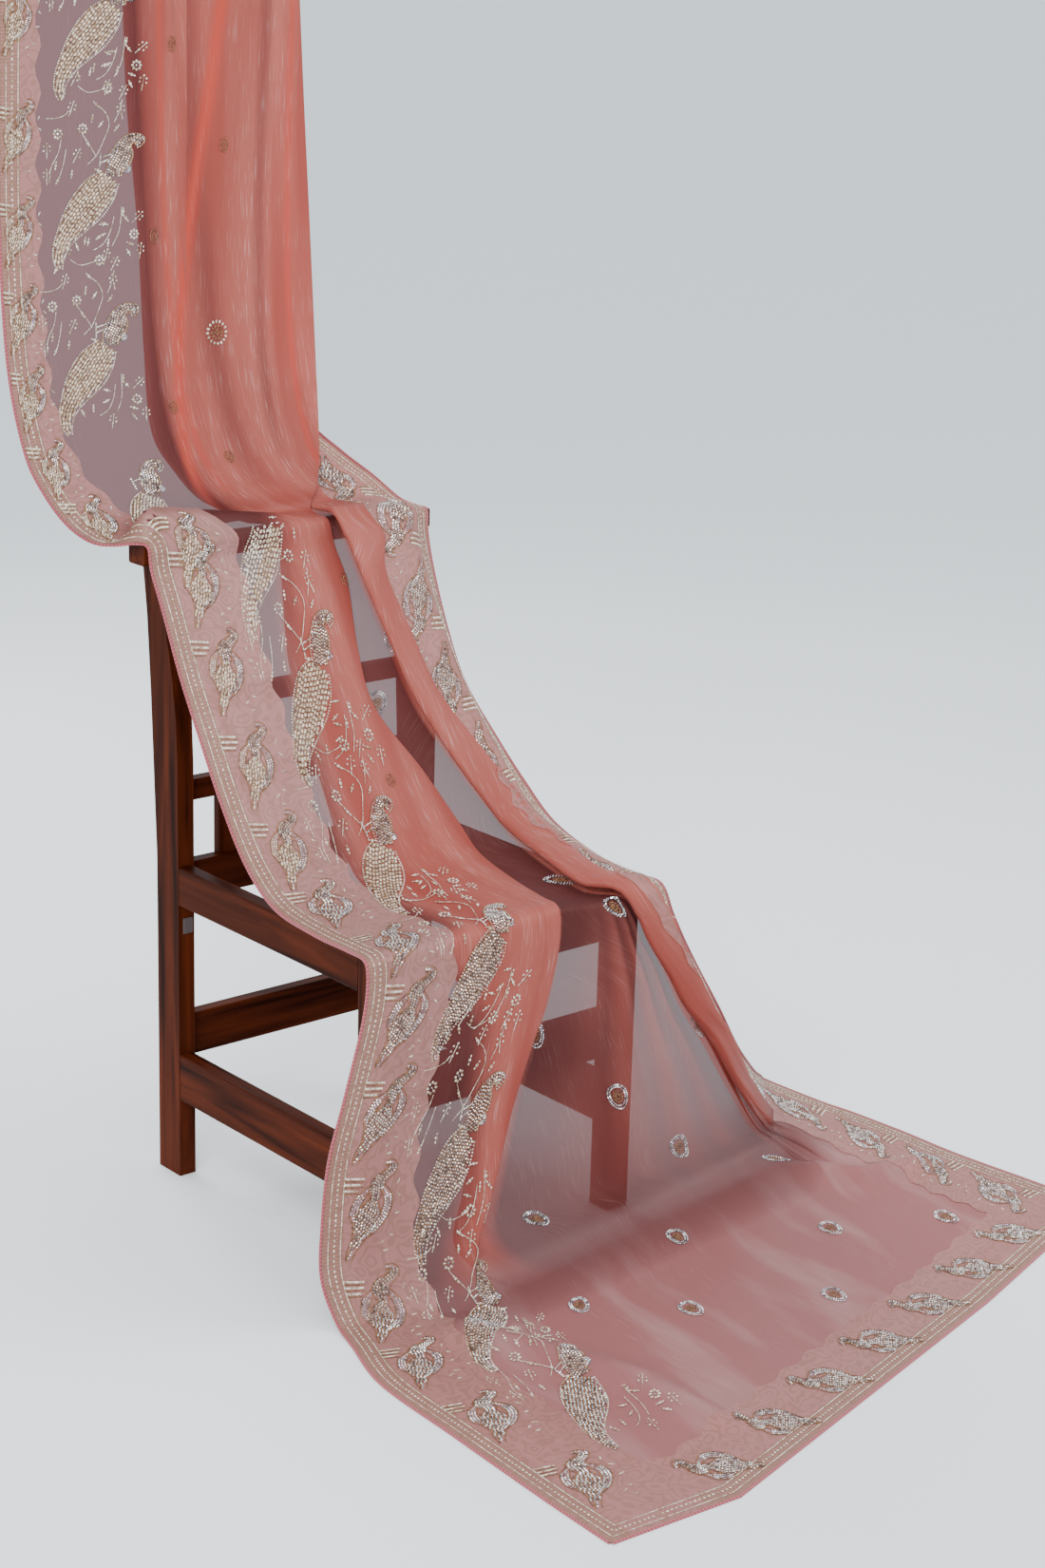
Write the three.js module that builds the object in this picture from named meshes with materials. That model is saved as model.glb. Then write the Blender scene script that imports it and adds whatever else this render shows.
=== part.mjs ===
// An organza saree with embroidered tissue borders, draped over the back and the open seat of a
// wooden ladder-back chair. Millimetres, +Z up, X along the chair's front, Y towards its back.
// The origin is moved at the end to the middle of the footprint, on the floor.
import * as THREE from "three";

// Driving dimensions of the cloth
const SAREE_WIDTH = 1140;
const WALL = 1.0;
const SEAM = 0.3;
const SIDE_BAND = 133;
const BAND_LIFT = WALL + SEAM;
const PIPING_RADIUS = 1.9;
const PIPING_LIFT = 1.15;
const PIPING_GAP = 0.4;
const PIPING_STEP = 3;
const FLOOR_LEVEL = 0.3 + WALL / 2;

// Driving dimensions of the chair
const CHAIR_WIDTH = 434;
const CHAIR_DEPTH = 437;
const SEAT_TOP = 447;
const RAIL_THICK = 22;
const FIT = 0.3;

// Colours
const ORGANZA = 0xc98078;
const TISSUE = 0xd3a49c;
const PIPING = 0xb5505a;
const WOOD = 0x4a1c0e;
const STEEL = 0x9a9a98;

// A row for each section across the cloth, from the upper end down to the pallu's end.
// left and right are the two selvedges, fold is the front panel's folded edge, roll is where the
// single layer enters the gathered roll. tuck is how far the panel turns back behind its fold, and
// under and base are how deep its second and third layers lie. hide is how far the roll's hidden
// layers reach, step is their spacing, and shut says how far the tuck and the roll are closed.
// parts is the number of facets to the next row.
const SECTIONS = [
  { at: "upper end", left: [-182, 95, 1640], fold: [256, 95, 1640], roll: [158, 121, 1640],
    right: [225, 119, 1640], tuck: 245, under: 4, base: 26, step: 3, hide: 32, shut: [1, 1], parts: 1 },
  { at: "drop", left: [-188, 95, 1450], fold: [267, 95, 1450], roll: [142, 121, 1450],
    right: [212, 119, 1450], tuck: 252, under: 4, base: 26, step: 3, hide: 32, shut: [1, 1], parts: 1 },
  { at: "drop", left: [-191, 95, 1280], fold: [278, 95, 1280], roll: [112, 121, 1280],
    right: [196, 119, 1280], tuck: 248, under: 4, base: 26, step: 3, hide: 34, shut: [1, 1], parts: 1 },
  { at: "drop", left: [-184, 95, 1120], fold: [288, 95, 1120], roll: [98, 121, 1120],
    right: [200, 119, 1120], tuck: 250, under: 4, base: 26, step: 3, hide: 34, shut: [1, 1], parts: 1 },
  { at: "drop", left: [-163, 95, 1010], fold: [295, 95, 1010], roll: [188, 121, 1010],
    right: [285, 119, 1010], tuck: 246, under: 4, base: 26, step: 3, hide: 28, shut: [1, 1], parts: 1 },
  { at: "above the rail", left: [-136, 95, 952], fold: [297, 95, 950], roll: [262, 120, 952],
    right: [350, 118, 955], tuck: 210, under: 4, base: 26, step: 3, hide: 34, shut: [1, 1], parts: 1 },
  { at: "above the rail", left: [-98, 94, 903], fold: [291, 92, 916.5], roll: [278.1, 118, 912],
    right: [403, 114.6, 916], tuck: 160, under: 4, base: 30, step: 2.7, hide: 60, shut: [1, 1], parts: 3 },
  { at: "behind the rail", left: [-54, 92.8, 876.1], fold: [277, 87, 891.8], roll: [283.2, 100.8, 880.2],
    right: [435, 94, 884], tuck: 110, under: 2, base: 7.6, step: 2.7, hide: 95.5, shut: [1, 1], parts: 3 },
  { at: "crest", left: [-22, 60.5, 880.3], fold: [272, 62, 884.5], roll: [287.9, 62, 878],
    right: [444, 62, 877.7], tuck: 78, under: 2.6, base: 5.2, step: 2.7, hide: 112, shut: [1, 1], parts: 3 },
  { at: "rail's front edge", left: [-14, 41, 876.4], fold: [273, 40, 881], roll: [284, 40, 875.5],
    right: [442, 40.5, 876.2], tuck: 80, under: 2.6, base: 5.2, step: 3.3, hide: 120, shut: [1, 1], parts: 2 },
  { at: "below the rail", left: [-12, 36, 846], fold: [277, 30, 846], roll: [287, 22.7, 846],
    right: [440, 35.3, 846], tuck: 85, under: 3, base: 7, step: 4.5, hide: 106.4, shut: [1, 1], parts: 1 },
  { at: "fall", left: [-12, 10, 798], fold: [280, 4, 798], roll: [292, -4.7, 799],
    right: [440, 21, 798], tuck: 100, under: 4, base: 9, step: 4.3, hide: 107.1, shut: [1, 1], parts: 1 },
  { at: "fall", left: [-12, -31, 716], fold: [266, -39, 716], roll: [311, -42, 716],
    right: [440, -12, 722], tuck: 106, under: 4, base: 9, step: 4.0, hide: 105, shut: [1, 1], parts: 2 },
  { at: "fall", left: [-12, -75, 644], fold: [263, -83, 645], roll: [322, -86, 642],
    right: [441, -54, 650], tuck: 110, under: 4, base: 9, step: 4.4, hide: 100, shut: [1, 1], parts: 2 },
  { at: "fall", left: [-12, -122, 570], fold: [304, -134, 566], roll: [352, -134, 568],
    right: [444, -120, 586], tuck: 155, under: 4, base: 9, step: 4.4, hide: 70, shut: [1, 1], parts: 2 },
  { at: "fall", left: [-12, -177, 501], fold: [323, -192, 502], roll: [379, -189, 504],
    right: [448, -180, 533], tuck: 183, under: 4, base: 9, step: 4.4, hide: 50, shut: [1, 1], parts: 2 },
  { at: "over the seat", left: [-12, -240, 460], fold: [319, -242, 473], roll: [379, -242, 477],
    right: [452, -240, 490], tuck: 186, under: 4, base: 8, step: 4.2, hide: 50, shut: [1, 1], parts: 2 },
  { at: "over the seat", left: [-13, -325, 450], fold: [306, -324, 463], roll: [368, -325, 463],
    right: [456, -325, 465], tuck: 166, under: 4, base: 8, step: 4, hide: 62, shut: [1, 1], parts: 1 },
  { at: "over the seat", left: [-15, -400, 450.5], fold: [291, -402, 462], roll: [362, -403, 453],
    right: [459, -400, 459], tuck: 152, under: 4, base: 8, step: 3.6, hide: 70, shut: [1, 1], parts: 2 },
  { at: "seat's front edge", left: [-19, -440, 450], fold: [284, -445, 461], roll: [395, -441, 450],
    right: [462, -446, 457], tuck: 191, under: 4, base: 8, step: 3.6, hide: 45, shut: [1, 1], parts: 2 },
  { at: "front drop", left: [-20, -448, 424], fold: [282, -454, 428], roll: [414, -450, 424],
    right: [474, -458, 416], tuck: 181, under: 4, base: 8, step: 3.6, hide: 40, shut: [1, 1], parts: 1 },
  { at: "front drop", left: [-27, -450, 380], fold: [275, -455, 386], roll: [432, -452, 388],
    right: [498, -458, 372], tuck: 146, under: 4, base: 8, step: 4, hide: 46, shut: [1, 1], parts: 1 },
  { at: "front drop", left: [-43, -452, 328], fold: [257, -458, 332], roll: [466, -452, 336],
    right: [538, -454, 312], tuck: 100, under: 4, base: 9, step: 4.6, hide: 54, shut: [1, 1], parts: 2 },
  { at: "front drop", left: [-60, -455, 280], fold: [228, -464, 280], roll: [502, -450, 275],
    right: [586, -442, 248], tuck: 80, under: 5, base: 10, step: 5, hide: 46, shut: [1, 1], parts: 2 },
  { at: "front drop", left: [-85, -458, 205], fold: [190, -474, 207], roll: [552, -448, 208],
    right: [650, -414, 172], tuck: 57, under: 5, base: 11, step: 5, hide: 34, shut: [1, 1], parts: 2 },
  { at: "front drop", left: [-97, -462, 125], fold: [148, -493, 122], roll: [608, -442, 128],
    right: [725, -374, 105], tuck: 38, under: 5, base: 11, step: 5, hide: 26, shut: [1, 0.9], parts: 2 },
  { at: "front drop", left: [-103, -470, 62], fold: [111, -510, 64], roll: [658, -444, 55.2],
    right: [785, -332, 66], tuck: 36, under: 6, base: 12, step: 8, hide: 12.9, shut: [0.9, 0.62], parts: 2 },
  { at: "meets the floor", left: [-98, -494, 12], fold: [86, -538, 14], roll: [709.1, -437.8, 14.7],
    right: [842, -290, 31.4], tuck: 30, under: 6, base: 12, step: 7, hide: 28, shut: [0.34, 0.25], parts: 2 },
  { at: "floor", left: [-108, -540, 0.8], fold: [88, -590, 0.8], roll: [690, -522.6, 2.6],
    right: [898, -345, 2.9], tuck: 20, under: 2, base: 2, step: 14.2, hide: 6.8, shut: [0, 0.11], parts: 1 },
  { at: "floor", left: [-139, -640, 0.8], fold: [80, -672, 0.8], roll: [650, -607.6, 0.8],
    right: [916, -470, 0.8], tuck: 20, under: 2, base: 2, step: 2, hide: 30, shut: [0, 0], parts: 1 },
  { at: "floor", left: [-147, -790, 0.8], fold: [58, -812, 0.8], roll: [617, -710, 0.8],
    right: [921, -590, 0.8], tuck: 20, under: 2, base: 2, step: 2, hide: 30, shut: [0, 0], parts: 1 },
  { at: "end band", left: [-155, -957, 0.8], fold: [24, -970, 0.8], roll: [606, -818, 0.8],
    right: [935, -711, 0.8], tuck: 20, under: 2, base: 2, step: 2, hide: 30, shut: [0, 0], parts: 2 },
  { at: "pallu's end", left: [-158, -1071, 0.8], fold: [20, -1084, 0.8], roll: [605, -930, 0.8],
    right: [948, -822, 0.8], tuck: 20, under: 2, base: 2, step: 2, hide: 30, shut: [0, 0], parts: 1 },
];

// Where each stretch of the cloth begins and ends, in rows of SECTIONS
const STRETCHES = [
  { name: "drop", from: 0, to: 6 },
  { name: "fall", from: 6, to: 19 },
  { name: "front", from: 19, to: 27 },
  { name: "floor", from: 27, to: 32 },
];
const SEAM_SHIFT = 0.012;

// Facets across a border band, the front panel beside it and the tuck
const BAND_FACETS = 4;
const PANEL_FACETS = 4;
const PANEL_SAMPLES = 40;
const TUCK_FACETS = 1;

// How far the single layer stays behind the panel: past its fold, or up to the roll where that comes first
const PAST_FOLD = 4;
const BEFORE_ROLL = 12;

// The row from which the cloth lies on the floor, and the step in rows over which directions are measured
const LANDING = 26.5;
const PROBE = 0.05;

// The loose crest that stands over the rail: its row, height, and where it is highest on the panel
const CREST = { row: 8, reach: 0.9, height: 48, peak: 0.07 };

// Fan folds that run down from the seat's corner: where each lies, as a share of the way from the
// panel's fold to the roll, at the row it starts from and the row it ends at, and its height
const FAN_ROWS = { from: 19, to: 28 };
const FAN_FOLDS = [
  { start: 0.67, end: 0.53, height: 15 },
  { start: 0.83, end: 0.72, height: 13 },
  { start: 0.94, end: 0.87, height: 10 },
];

// Soft ridges in the cloth that lies on the floor, each between two points
const FLOOR_RIDGES = [
  { from: [20, -590], to: [108, -815], height: 15, width: 26 },
  { from: [108, -815], to: [122, -960], height: 11, width: 24 },
  { from: [660, -470], to: [745, -570], height: 20, width: 26 },
  { from: [745, -570], to: [850, -592], height: 18, width: 24 },
];

const vec = (p) => new THREE.Vector3(...p);
const mix = (a, b, s) => a.clone().lerp(b, s);
const unit = (a, b) => b.clone().sub(a).normalize();
const smooth = (s) => s * s * (3 - 2 * s);
const clamp01 = (s) => Math.min(1, Math.max(0, s));

function lengthOf(line) {
  let total = 0;
  for (let i = 1; i < line.length; i++) total += line[i].distanceTo(line[i - 1]);
  return total;
}

// The point at a distance along a line of points
function pointAlong(line, distance) {
  let rest = distance;
  let i = 0;
  while (i < line.length - 2 && rest > line[i].distanceTo(line[i + 1])) {
    rest -= line[i].distanceTo(line[i + 1]);
    i++;
  }
  return mix(line[i], line[i + 1], rest / line[i].distanceTo(line[i + 1]));
}

// A Catmull-Rom value between rows, for one number
function between(values, t) {
  const last = values.length - 1;
  const i = Math.min(last - 1, Math.floor(t));
  const s = t - i;
  const p0 = values[Math.max(0, i - 1)];
  const p1 = values[i];
  const p2 = values[i + 1];
  const p3 = values[Math.min(last, i + 2)];
  const a = 2 * p1;
  const b = p2 - p0;
  const c = 2 * p0 - 5 * p1 + 4 * p2 - p3;
  const d = 3 * p1 - p0 - 3 * p2 + p3;
  return 0.5 * (a + b * s + c * s * s + d * s * s * s);
}

const column = (pick) => SECTIONS.map(pick);
const guide = (name, t) =>
  new THREE.Vector3(...[0, 1, 2].map((k) => between(column((r) => r[name][k]), t)));
const size = (name, t) => between(column((r) => r[name]), t);

// The two factors that close the tuck and the roll, 0 where the cloth lies open
const shutAt = (t) => [0, 1].map((k) => clamp01(between(column((r) => r.shut[k]), t)));

// The crest's bulge at share s of the front panel
function crestHeight(t, s) {
  const near = clamp01(1 - Math.abs(t - CREST.row) / CREST.reach);
  const rise = Math.min(1, s / CREST.peak);
  return CREST.height * smooth(near) * smooth(rise) * (1 - s);
}

// The shares across the single layer where its points lie, with the fan folds' height at each: every
// fold has a point on its ridge, and a flat one between it and the next
function fanShares(t) {
  const along = clamp01((t - FAN_ROWS.from) / (FAN_ROWS.to - FAN_ROWS.from));
  const swell = Math.sin(Math.PI * along ** 0.7);
  const ridges = FAN_FOLDS.map(({ start, end }) => start + (end - start) * along);
  const shares = [{ share: 0, height: 0 }, { share: ridges[0] / 2, height: 0 }];
  let before = ridges[0] - (ridges[1] - ridges[0]);
  ridges.forEach((ridge, k) => {
    shares.push({ share: (before + ridge) / 2, height: 0 });
    shares.push({ share: ridge, height: FAN_FOLDS[k].height * swell });
    before = ridge;
  });
  shares.push({ share: (before + 1) / 2, height: 0 }, { share: 1, height: 0 });
  return shares;
}

// The floor ridges' height at a point
function ridgeHeight(p) {
  let height = 0;
  for (const ridge of FLOOR_RIDGES) {
    const [ax, ay] = ridge.from;
    const dx = ridge.to[0] - ax;
    const dy = ridge.to[1] - ay;
    const s = clamp01(((p.x - ax) * dx + (p.y - ay) * dy) / (dx * dx + dy * dy));
    const away = Math.hypot(p.x - ax - s * dx, p.y - ay - s * dy);
    const fade = ridge.height * Math.exp(-((away / ridge.width) ** 2));
    height = Math.max(height, fade);
  }
  return height;
}

// Places of the roll's layers: the level that each run lies at, and where it starts and ends, as
// shares of hide, or of the roll's own width where own is true. open holds the shares of the way
// from roll to the border that the run covers where the cloth lies open. The border's run comes out
// last, and its band stays BORDER_REST short of the roll's fold.
const ROLL_RUNS = [
  { level: 0, start: 0.1, stop: 1, own: false, open: [0.03, 0.2], facets: 1 },
  { level: 1, start: 1, stop: 0.35, own: false, open: [0.23, 0.33], facets: 1 },
  { level: 2, start: 0.35, stop: 1, own: false, open: [0.36, 0.46], facets: 1 },
  { level: 3, start: 1, stop: 0, own: false, open: [0.5, 0.66], facets: 1 },
  { level: 6, start: 0, stop: 1, own: true, open: [0.7, 0.84], facets: 2 },
  { level: 5, start: 1, stop: 0.15, own: true, open: [0.87, 0.97], facets: 1 },
];
const BORDER_RUN = { level: 4, start: 0.15, own: true, open: [1, 1] };
const BORDER_REST = 6;

// One section's points for a given width of the roll
function sectionPoints(t, rollWidth) {
  const [left, fold, roll, right] = ["left", "fold", "roll", "right"].map((name) => guide(name, t));
  const last = SECTIONS.length - 1;
  const [above, below] = [Math.max(0, t - PROBE), Math.min(last, t + PROBE)];
  const down = unit(mix(guide("left", above), guide("fold", above), 0.5),
    mix(guide("left", below), guide("fold", below), 0.5));
  const rollDown = unit(guide("roll", above), guide("roll", below));
  const across = unit(left, fold);
  const over = unit(roll, right);
  const out = down.clone().cross(across).normalize();
  const rollOut = rollDown.clone().cross(over).normalize();
  const [tuckShut, rollShut] = shutAt(t);
  const points = [];

  // The front panel with the loose crest over the rail: the border band's columns, then the rest
  const panel = Array.from({ length: PANEL_SAMPLES + 1 }, (_, j) => {
    const s = j / PANEL_SAMPLES;
    const point = mix(left, fold, s);
    point.z += crestHeight(t, s);
    return point;
  });
  const panelRest = lengthOf(panel) - SIDE_BAND;
  for (let k = 0; k < BAND_FACETS; k++) points.push(pointAlong(panel, (SIDE_BAND * k) / BAND_FACETS));
  for (let k = 0; k <= PANEL_FACETS; k++)
    points.push(pointAlong(panel, SIDE_BAND + (panelRest * k) / PANEL_FACETS));

  // The tuck behind its fold, then the single layer that comes out from under it to the roll
  const back = fold.clone().addScaledVector(across, -size("tuck", t));
  const under = -size("under", t);
  const base = -size("base", t);
  const tuckRun = [fold.clone().addScaledVector(out, under), back.clone().addScaledVector(out, under)];
  const toRoll = roll.clone().sub(back).dot(across);
  const hiddenWidth = Math.min(size("tuck", t) + PAST_FOLD, toRoll - BEFORE_ROLL);
  const hidden = [0, hiddenWidth].map((distance) =>
    back.clone().addScaledVector(out, base).addScaledVector(across, distance));
  const turn = (a, b, side) =>
    mix(a, b, 0.5).addScaledVector(side, 0.5 * a.distanceTo(b));
  const behind = across.clone().negate();
  const alongSingle = (share) => mix(fold, roll, share);
  points.push(mix(alongSingle(0.01), turn(fold, tuckRun[0], across), tuckShut));
  for (let j = 0; j <= TUCK_FACETS; j++) {
    const s = j / TUCK_FACETS;
    points.push(mix(alongSingle(0.02 + 0.1 * s), mix(...tuckRun, s), tuckShut));
  }
  points.push(mix(alongSingle(0.13), turn(tuckRun[1], hidden[0], behind), tuckShut));
  points.push(mix(alongSingle(0.14), hidden[0], tuckShut));
  for (const { share, height } of fanShares(t)) {
    const shown = mix(alongSingle(0.22 + 0.78 * share), mix(hidden[1], roll, share), tuckShut);
    points.push(shown.addScaledVector(out, height));
  }

  // The roll's layers, folded to and fro, and the border's run out from under them
  const step = size("step", t);
  const hide = size("hide", t);
  const place = (distance, level) =>
    roll.clone().addScaledVector(over, distance).addScaledVector(rollOut, level * step);
  const reach = (run, share) => share * (run.own ? rollWidth : hide);
  const width = roll.distanceTo(right);
  const openShare = 1 - (SIDE_BAND + BORDER_REST) / width;
  const alongRoll = (share) => mix(roll, right, share * openShare);
  ROLL_RUNS.forEach((run, k) => {
    const [a, b] = [place(reach(run, run.start), run.level), place(reach(run, run.stop), run.level)];
    for (let j = 0; j <= run.facets; j++) {
      const s = j / run.facets;
      points.push(mix(alongRoll(run.open[0] + (run.open[1] - run.open[0]) * s), mix(a, b, s), rollShut));
    }
    const next = ROLL_RUNS[k + 1] ?? BORDER_RUN;
    const c = place(reach(next, next.start), next.level);
    const side = run.stop > run.start ? over : over.clone().negate();
    points.push(mix(alongRoll((run.open[1] + next.open[0]) / 2), turn(b, c, side), rollShut));
  });
  const start = BORDER_RUN.start * rollWidth;
  const band = Math.min(SIDE_BAND, width - start - BORDER_REST);
  const fromRight = [rollShut * (width - start) + (1 - rollShut) * (SIDE_BAND + BORDER_REST)];
  for (let k = BAND_FACETS; k >= 0; k--)
    fromRight.push(((rollShut * band + (1 - rollShut) * SIDE_BAND) * k) / BAND_FACETS);
  for (const rest of fromRight) {
    const distance = width - rest;
    const ease = smooth(clamp01((distance - hide) / (width - hide)));
    const shut = place(distance, BORDER_RUN.level * (1 - ease));
    points.push(mix(mix(roll, right, distance / width), shut, rollShut));
  }

  // On the floor nothing lies lower than the floor, and the soft ridges rise from it
  if (t > LANDING) {
    const fade = smooth(clamp01((t - LANDING) / 2));
    for (const p of points) p.z = Math.max(p.z, FLOOR_LEVEL) + fade * ridgeHeight(p);
  }
  return points;
}

// The section whose roll takes up just the cloth that the rest of the section leaves over
const ROLL_WIDTHS = [20, 62];
function section(t) {
  let [low, high] = ROLL_WIDTHS;
  for (let i = 0; i < 24; i++) {
    const middle = (low + high) / 2;
    if (lengthOf(sectionPoints(t, middle)) < SAREE_WIDTH) low = middle;
    else high = middle;
  }
  return sectionPoints(t, (low + high) / 2);
}

// The rows of stations of one stretch, with a seam's gap to its neighbours
function stationsOf({ from, to }) {
  const stations = [];
  for (let row = from; row < to; row++) {
    const parts = SECTIONS[row].parts;
    for (let k = 0; k < parts; k++) stations.push(row + k / parts);
  }
  stations.push(to);
  if (from > 0) stations[0] += SEAM_SHIFT;
  if (to < SECTIONS.length - 1) stations[stations.length - 1] -= SEAM_SHIFT;
  return stations;
}

// Normals of the section at t, on the cloth's face side
function normalsAt(t) {
  const last = SECTIONS.length - 1;
  const row = section(t);
  const up = section(Math.max(0, t - PROBE));
  const down = section(Math.min(last, t + PROBE));
  return row.map((_, j) => {
    const before = row[Math.max(0, j - 1)];
    const after = row[Math.min(row.length - 1, j + 1)];
    return unit(up[j], down[j]).cross(unit(before, after)).normalize();
  });
}

// A grid's points moved out along its normals
const movedOut = (grid, normals, lift) =>
  grid.map((row, i) => row.map((p, j) => p.clone().addScaledVector(normals[i][j], lift)));

// A closed wall between two grids of points
function wallBetween(face, back) {
  const rows = face.length;
  const columns = face[0].length;
  const positions = [];
  for (const grid of [face, back]) for (const row of grid) for (const p of row) positions.push(p.x, p.y, p.z);
  const at = (side, i, j) => side * rows * columns + i * columns + j;
  const index = [];
  const quad = (a, b, c, d) => index.push(a, b, c, a, c, d);
  for (let i = 0; i + 1 < rows; i++)
    for (let j = 0; j + 1 < columns; j++) {
      quad(at(0, i, j), at(0, i + 1, j), at(0, i + 1, j + 1), at(0, i, j + 1));
      quad(at(1, i, j), at(1, i, j + 1), at(1, i + 1, j + 1), at(1, i + 1, j));
    }
  for (let i = 0; i + 1 < rows; i++) {
    const e = columns - 1;
    quad(at(0, i, 0), at(1, i, 0), at(1, i + 1, 0), at(0, i + 1, 0));
    quad(at(0, i, e), at(0, i + 1, e), at(1, i + 1, e), at(1, i, e));
  }
  for (let j = 0; j + 1 < columns; j++) {
    const e = rows - 1;
    quad(at(0, 0, j), at(0, 0, j + 1), at(1, 0, j + 1), at(1, 0, j));
    quad(at(0, e, j), at(1, e, j), at(1, e, j + 1), at(0, e, j + 1));
  }
  const geometry = new THREE.BufferGeometry();
  geometry.setAttribute("position", new THREE.Float32BufferAttribute(positions, 3));
  geometry.setIndex(index);
  geometry.computeVertexNormals();
  return geometry;
}

const clothWall = (grid, normals, lift) =>
  wallBetween(movedOut(grid, normals, lift + WALL / 2), movedOut(grid, normals, lift - WALL / 2));

const materials = {
  organza: new THREE.MeshStandardMaterial({ color: ORGANZA, roughness: 0.45, side: THREE.DoubleSide }),
  tissue: new THREE.MeshStandardMaterial({ color: TISSUE, roughness: 0.4 }),
  piping: new THREE.MeshStandardMaterial({ color: PIPING, roughness: 0.6 }),
  wood: new THREE.MeshStandardMaterial({ color: WOOD, roughness: 0.35 }),
  steel: new THREE.MeshStandardMaterial({ color: STEEL, roughness: 0.35, metalness: 1 }),
};

const model = new THREE.Group();
function add(name, geometry, material) {
  const mesh = new THREE.Mesh(geometry, materials[material]);
  mesh.name = name;
  model.add(mesh);
  return mesh;
}

// The path of the piping beside an edge of the cloth; side is 1 where the cloth lies to the left of
// the edge's direction as seen from its face, or -1
function besideEdge(edge, side) {
  const path = [];
  edge.forEach(({ point, normal }, i) => {
    const before = edge[Math.max(0, i - 1)].point;
    const after = edge[Math.min(edge.length - 1, i + 1)].point;
    const away = unit(before, after).cross(normal).normalize().multiplyScalar(side);
    const next = point.clone().addScaledVector(away, PIPING_RADIUS + PIPING_GAP)
      .addScaledVector(normal, PIPING_LIFT);
    if (!path.length || path[path.length - 1].distanceTo(next) > PIPING_STEP) path.push(next);
  });
  return path;
}

// A line through points, measured point by point, so that what is swept along it turns at each one
class PointLine extends THREE.Curve {
  constructor(points) {
    super();
    this.points = points;
  }
  getPoint(t) {
    const place = clamp01(t) * (this.points.length - 1);
    const i = Math.min(this.points.length - 2, Math.floor(place));
    return mix(this.points[i], this.points[i + 1], place - i);
  }
  getUtoTmapping(u) {
    return u;
  }
}

// A piping cord swept along a line of points
function piping(points) {
  const section = new THREE.Shape();
  section.absarc(0, 0, PIPING_RADIUS, 0, 2 * Math.PI, false);
  return new THREE.ExtrudeGeometry(section, {
    extrudePath: new PointLine(points), steps: points.length - 1, curveSegments: 3, bevelEnabled: false });
}

// The saree's body and side borders, one piece for each stretch. Each band lies on the cloth's own
// points, moved out. The pallu's end band fills the last rows between the two side bands.
const END_ROW = 31;
const edges = { left: [], right: [], end: [] };
for (const stretch of STRETCHES) {
  const stations = stationsOf(stretch);
  const grid = stations.map(section);
  const normals = stations.map(normalsAt);
  add("saree_" + stretch.name, clothWall(grid, normals, 0), "organza");

  const last = grid[0].length - 1;
  const bands = { left: [0, BAND_FACETS + 1], right: [last - BAND_FACETS, last + 1] };
  for (const [side, columns] of Object.entries(bands)) {
    const cut = (rows) => rows.map((row) => row.slice(...columns));
    add(`border_${side}_${stretch.name}`, clothWall(cut(grid), cut(normals), BAND_LIFT), "tissue");
  }
  grid.forEach((row, i) => {
    edges.left.push({ point: row[0], normal: normals[i][0] });
    edges.right.push({ point: row[last], normal: normals[i][last] });
  });
  if (stretch.to < SECTIONS.length - 1) continue;

  const end = grid.length - 1;
  edges.end = grid[end].map((point, j) => ({ point, normal: normals[end][j] }));
  const first = stations.findIndex((t) => t >= END_ROW);
  const cut = (rows) => rows.slice(first).map((row) => row.slice(BAND_FACETS, last - BAND_FACETS + 1));
  const inset = cut(grid).map((row) => {
    const inner = [...row];
    inner[0] = row[0].clone().addScaledVector(unit(row[0], row[1]), SEAM);
    const e = row.length - 1;
    inner[e] = row[e].clone().addScaledVector(unit(row[e], row[e - 1]), SEAM);
    return inner;
  });
  add("border_end_floor", clothWall(inset, cut(normals), BAND_LIFT), "tissue");
}
const EDGE_SIDES = { left: 1, right: -1, end: 1 };
for (const [name, side] of Object.entries(EDGE_SIDES))
  add("piping_" + name, piping(besideEdge(edges[name], side)), "piping");

// The rest of the saree, folded over and over above the drop: rounded rings, one layer to a pair
const FOLDS = { low: 1640 + WALL, high: 2010, left: -178, right: 268, front: 90, layers: 8, pitch: 4.4,
  groove: 3, corner: 16 };
function foldedRest() {
  const rings = [];
  const outline = (inset) => {
    const shape = new THREE.Shape();
    const r = FOLDS.corner;
    const [x0, x1] = [FOLDS.left + inset, FOLDS.right - inset];
    const [z0, z1] = [FOLDS.low + inset, FOLDS.high - inset];
    shape.moveTo(x0 + r, z0);
    shape.lineTo(x1 - r, z0).absarc(x1 - r, z0 + r, r, -Math.PI / 2, 0, false);
    shape.lineTo(x1, z1 - r).absarc(x1 - r, z1 - r, r, 0, Math.PI / 2, false);
    shape.lineTo(x0 + r, z1).absarc(x0 + r, z1 - r, r, Math.PI / 2, Math.PI, false);
    shape.lineTo(x0, z0 + r).absarc(x0 + r, z0 + r, r, Math.PI, 1.5 * Math.PI, false);
    return shape.getPoints(2);
  };
  for (let k = 0; k < FOLDS.layers; k++) {
    const y = FOLDS.front + k * FOLDS.pitch;
    const bulge = 2 * (k % 2);
    rings.push({ y, inset: FOLDS.groove + bulge });
    rings.push({ y: y + FOLDS.pitch * 0.5, inset: bulge });
  }
  rings.push({ y: FOLDS.front + FOLDS.layers * FOLDS.pitch, inset: FOLDS.groove });
  const loops = rings.map(({ y, inset }) => outline(inset).map((p) => new THREE.Vector3(p.x, y, p.y)));
  return ringSolid(loops);
}

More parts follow.
